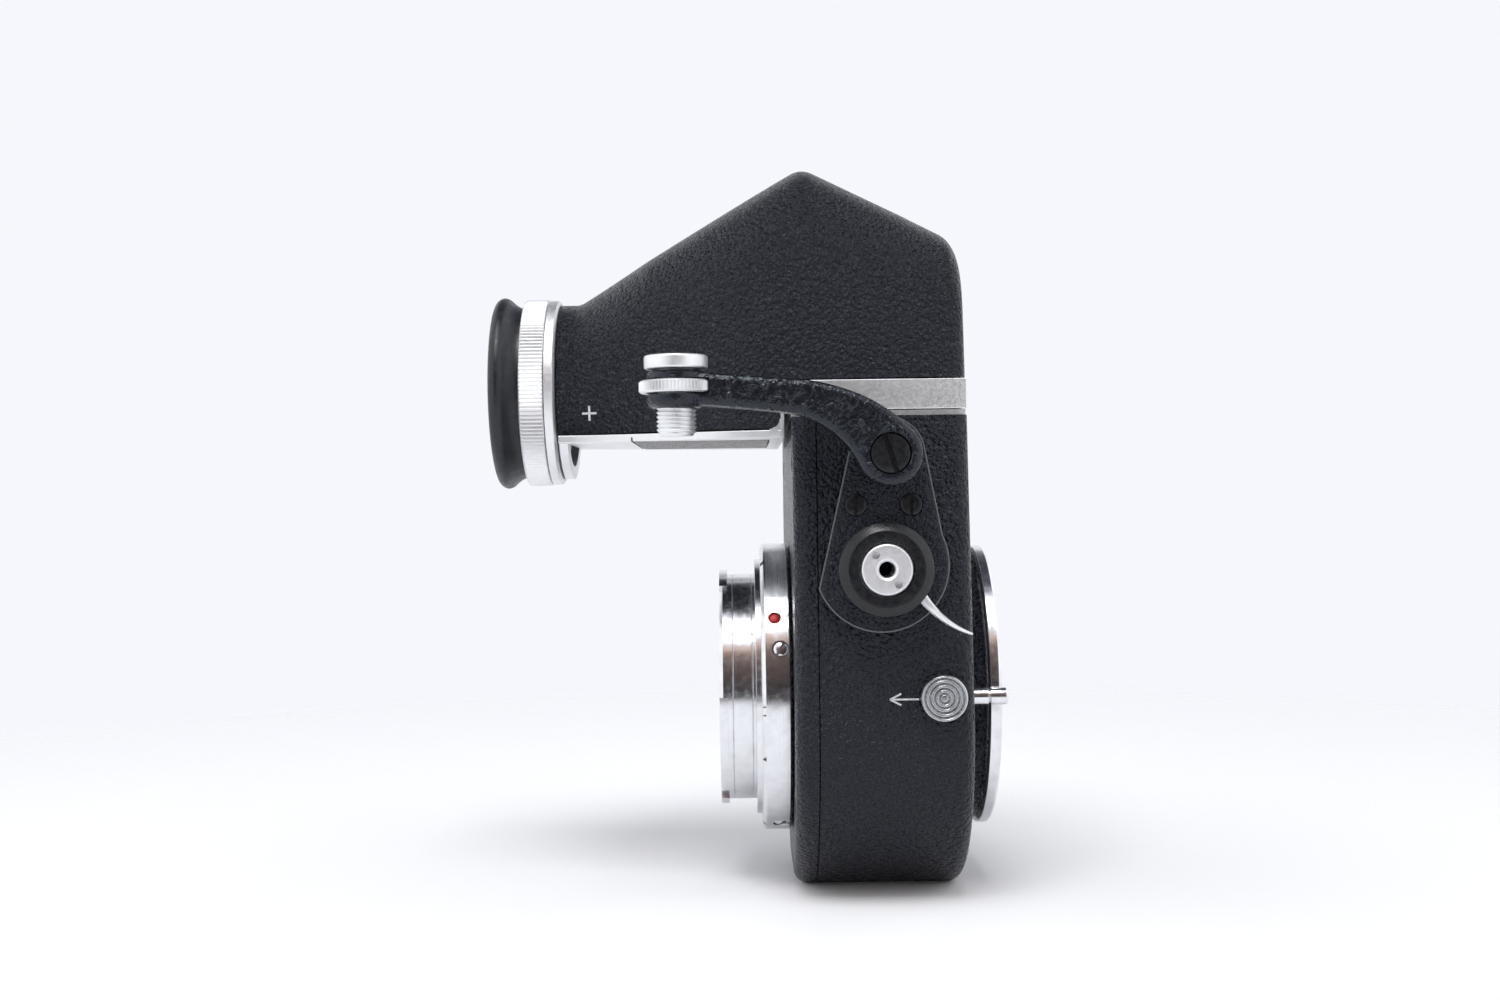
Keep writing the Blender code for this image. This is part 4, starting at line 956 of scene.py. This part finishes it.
def engraved(strokes, surface, width):
    """Thin filled strokes laid on the near side of a surface, each given by its ends in X and Z."""
    lift, sink = 0.03, 0.12
    bm = bmesh.new()
    for start, end in strokes:
        first, last = Vector(start), Vector(end)
        along = last - first
        across = Vector((-along.y, along.x)).normalized() * width / 2
        steps = max(int(along.length / 0.2), 2)
        rows = []
        for i in range(steps + 1):
            middle = first + along * i / steps
            row = []
            for side in (-1, 1):
                point = middle + across * side
                hit = surface.ray_cast(Vector((point.x, -60, point.y)), Vector((0, 1, 0)))[0]
                row += [(point.x, hit.y - lift, point.y), (point.x, hit.y + sink, point.y)]
            rows.append([bm.verts.new(row[k]) for k in (0, 1, 3, 2)])
        bridge(bm, rows)
    return make(bm)


def build_arrow():
    """The engraved arrow beside the lock button."""
    surface = surface_of(bpy.data.objects["body_shell"], 1 / MM)
    z = 35.75
    strokes = [((6.15, z), (1.4, z)), ((3.2, z + 0.95), (1.35, z)), ((3.2, z - 0.95), (1.35, z))]
    show("lock_arrow", engraved(strokes, surface, 0.3), "housing", WHITE_FILL)


def build_eyepiece():
    """The fixed collar, the knurled dioptre ring, and the ocular cell with its eyecup."""
    collar = lathe([(16.5, -55.5), (17.0, -55.9), (17.0, -57.4), (COLLAR_BORE_R, -57.4),
                    (COLLAR_BORE_R, -55.5)], EYE_CENTRE, steps=256, rounding=0.12)
    show("eye_collar", collar, "finder", SATIN, ("eyepiece_collar",))
    ring = lathe([(16.9, -57.5), (17.15, -57.75), (17.15, -61.6), (16.9, -61.9), (15.95, -61.9),
                  (15.95, -59.4), (14.3, -59.4), (14.3, -57.5)], EYE_CENTRE, rounding=0.1, teeth=150,
                 tooth=0.2, span=(-61.65, -57.7))
    show("knurled_ring", ring, "diopter", SATIN, ("diopter_ring",), 25)
    cell = lathe([(13.3, -55.6), (13.3, -64.2), (12.0, -64.2), (12.0, -55.6)], EYE_CENTRE, steps=128)
    show("eye_cell", cell, "ocular", BLACK, ("ocular_cell",))
    cup = lathe([(15.55, -60.7), (15.6, -62.55), (16.3, -63.85), (17.45, -65.05), (17.7, -66.05),
                 (17.1, -67.05), (16.1, -67.4), (15.0, -67.15), (13.9, -66.05), (11.8, -65.3),
                 (11.0, -65.1), (11.0, -64.5), (13.6, -64.5), (13.6, -60.7)], EYE_CENTRE, steps=192,
                rounding=0.8)
    show("eye_cup", cup, "ocular", PLASTIC, ("eyecup",), 45)


# ---- pieces kept from the CAD

KEPT = {
    "top_rail_plate": SATIN, "base_pad": ENAMEL, "mirror_chamber": MATTE,
    "bayonet_spring": SPRING_STEEL, "mirror_stop": BRASS, "arm_return_spring": SPRING_STEEL,
    "focusing_screen": GROUND, "screen_frame": MATTE, "mirror_glass": MIRROR, "mirror_holder": MATTE,
    "mirror_shaft": SPRING_STEEL, "mirror_crank": SPRING_STEEL, "mirror_return_spring": SPRING_STEEL,
    "arm_shaft": SPRING_STEEL, "trip_lever": SPRING_STEEL, "lens_lock_slide": BLACK,
    "detent_spring": SPRING_STEEL, "prism": GLASS, "prism_seat": MATTE, "field_lens": GLASS,
    "eye_lens": GLASS, "collective_lens": GLASS, "lens_spacer": MATTE, "lens_retaining_ring": BLACK,
}


def paint_kept_nodes():
    """Give each node kept as the CAD made it a procedural material."""
    for name, finish in KEPT.items():
        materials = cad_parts[name].data.materials
        materials.clear()
        materials.append(finish)


# ---- floor, light and camera

def build_floor():
    """A pale table that fades into the background with distance."""
    bm = bmesh.new()
    bmesh.ops.create_circle(bm, cap_ends=True, segments=96, radius=0.9)
    mesh = bpy.data.meshes.new("table")
    bm.to_mesh(mesh)
    bm.free()
    table = link_new("table", mesh)
    finish = Finish("table_top", (0.93, 0.935, 0.95), 0.6)
    finish.set(finish.shader, "Specular IOR Level", 0.2)
    finish.gloss(0.05, 2.0, 0.55, 0.65)
    length = finish.nodes.new("ShaderNodeVectorMath")
    length.operation = "LENGTH"
    finish.links.new(finish.place, length.inputs[0])
    near_edge = finish.spread(finish.axis("Y"), -245.0, -200.0, 1.0, 0.0)
    fade = finish.maths("MAXIMUM", finish.spread(length.outputs["Value"], 120.0, 420.0), near_edge)
    clear = finish.nodes.new("ShaderNodeBsdfTransparent")
    mix = finish.nodes.new("ShaderNodeMixShader")
    finish.links.new(fade, mix.inputs[0])
    finish.links.new(finish.shader.outputs[0], mix.inputs[1])
    finish.links.new(clear.outputs[0], mix.inputs[2])
    finish.links.new(mix.outputs[0], finish.nodes["Material Output"].inputs["Surface"])
    mesh.materials.append(finish.material)


def build_world():
    """A white studio with a dim room behind the camera, then a warm strip, a pale panel and a dark
    ceiling above it."""
    world = bpy.data.worlds.new("studio")
    bpy.context.scene.world = world
    world.use_nodes = True
    nodes, links = world.node_tree.nodes, world.node_tree.links

    def maths(operation, first, second=0.0):
        node = nodes.new("ShaderNodeMath")
        node.operation = operation
        for target, value in zip(node.inputs, (first, second)):
            feed(links, target, value)
        return node.outputs[0]

    def blend(factor, first, second):
        node = nodes.new("ShaderNodeMix")
        node.data_type = "RGBA"
        links.new(factor, node.inputs["Factor"])
        for target, value in zip(colour_sockets(node.inputs), (first, second)):
            feed(links, target, (*value, 1.0) if isinstance(value, tuple) else value)
        return colour_sockets(node.outputs)[0]

    split = nodes.new("ShaderNodeSeparateXYZ")
    links.new(nodes.new("ShaderNodeTexCoord").outputs["Generated"], split.inputs[0])
    side, depth, up = split.outputs
    # 0 at the horizon behind the camera, 0.5 overhead, 1 at the horizon behind the object.
    turn = maths("DIVIDE", maths("ARCTAN2", up, maths("MULTIPLY", depth, -1.0)), math.pi)
    ramp = nodes.new("ShaderNodeValToRGB")
    links.new(turn, ramp.inputs[0])
    stops = ((0.0, (0.035, 0.03, 0.032)), (0.12, (0.1, 0.07, 0.06)), (0.21, (0.2, 0.13, 0.11)),
             (0.225, (0.25, 0.16, 0.13)), (0.234, (1.2, 0.78, 0.53)), (0.242, (1.2, 0.78, 0.53)),
             (0.253, (0.3, 0.26, 0.26)), (0.27, (0.6, 0.62, 0.66)), (0.33, (0.85, 0.87, 0.92)),
             (0.45, (0.75, 0.78, 0.84)), (0.475, (0.12, 0.13, 0.16)), (0.5, (0.035, 0.04, 0.055)),
             (0.72, (0.06, 0.065, 0.08)), (0.8, (0.2, 0.21, 0.24)), (0.85, (0.95, 0.96, 1.0)))
    elements = ramp.color_ramp.elements
    while len(elements) > 1:
        elements.remove(elements[0])
    elements[0].position, elements[0].color = stops[0][0], (*stops[0][1], 1.0)
    for position, colour in stops[1:]:
        element = elements.new(position)
        element.color = (*colour, 1.0)
    sideways = nodes.new("ShaderNodeMapRange")
    sideways.interpolation_type = "SMOOTHSTEP"
    for target, value in zip(sideways.inputs, (maths("ABSOLUTE", side), 0.3, 0.62, 0.0, 1.0)):
        feed(links, target, value)
    room = blend(sideways.outputs[0], ramp.outputs[0], (1.22, 1.23, 1.26))
    # The horizon is drawn lower on the camera's side.
    limit = maths("MULTIPLY", maths("LESS_THAN", depth, 0.0), -0.17)
    below = maths("LESS_THAN", up, maths("SUBTRACT", limit, 0.002))
    room = blend(below, room, (0.97, 0.97, 1.0))
    seen = nodes.new("ShaderNodeLightPath").outputs["Is Camera Ray"]
    final = blend(seen, room, (0.922, 0.93, 0.975))
    background = nodes["Background"]
    links.new(final, background.inputs["Color"])
    background.inputs["Strength"].default_value = 1.0


def build_light():
    """One soft box above, aimed at the object."""
    light = bpy.data.lights.new("soft_box", "AREA")
    light.shape = "RECTANGLE"
    light.size, light.size_y = 0.42, 0.36
    light.energy = 4.4
    lamp = link_new("soft_box", light)
    lamp.location = (-0.1, -0.38, 0.85)
    direction = Vector((0, 0, 0.06)) - lamp.location
    lamp.rotation_euler = direction.to_track_quat("-Z", "Y").to_euler()


def build_camera():
    """The photograph's camera: it looks along +Y, with a very small roll."""
    roll = math.radians(0.757)
    data = bpy.data.cameras.new("photo_camera")
    data.sensor_width = 36.0
    data.lens = 41.53
    data.shift_x = 0.00543
    data.shift_y = 0.00776
    data.clip_start = 0.01
    camera = link_new("photo_camera", data)
    right = Vector((math.cos(roll), 0, -math.sin(roll)))
    up = Vector((math.sin(roll), 0, math.cos(roll)))
    turn = Matrix((right, up, Vector((0, -1, 0)))).transposed().to_4x4()
    place = (-0.0227, -0.3216, 0.0671)
    camera.matrix_world = Matrix.Translation(place) @ turn
    bpy.context.scene.camera = camera
    bpy.context.scene.view_settings.view_transform = "Standard"


build_camera()
build_world()
build_light()
build_floor()
build_housing()
build_camera_mount()
build_lens_mount()
build_arm()
build_mechanism()
build_lens_lock()
build_lock_spring()
build_finder()
build_arrow()
build_eyepiece()
paint_kept_nodes()
bpy.context.view_layer.update()
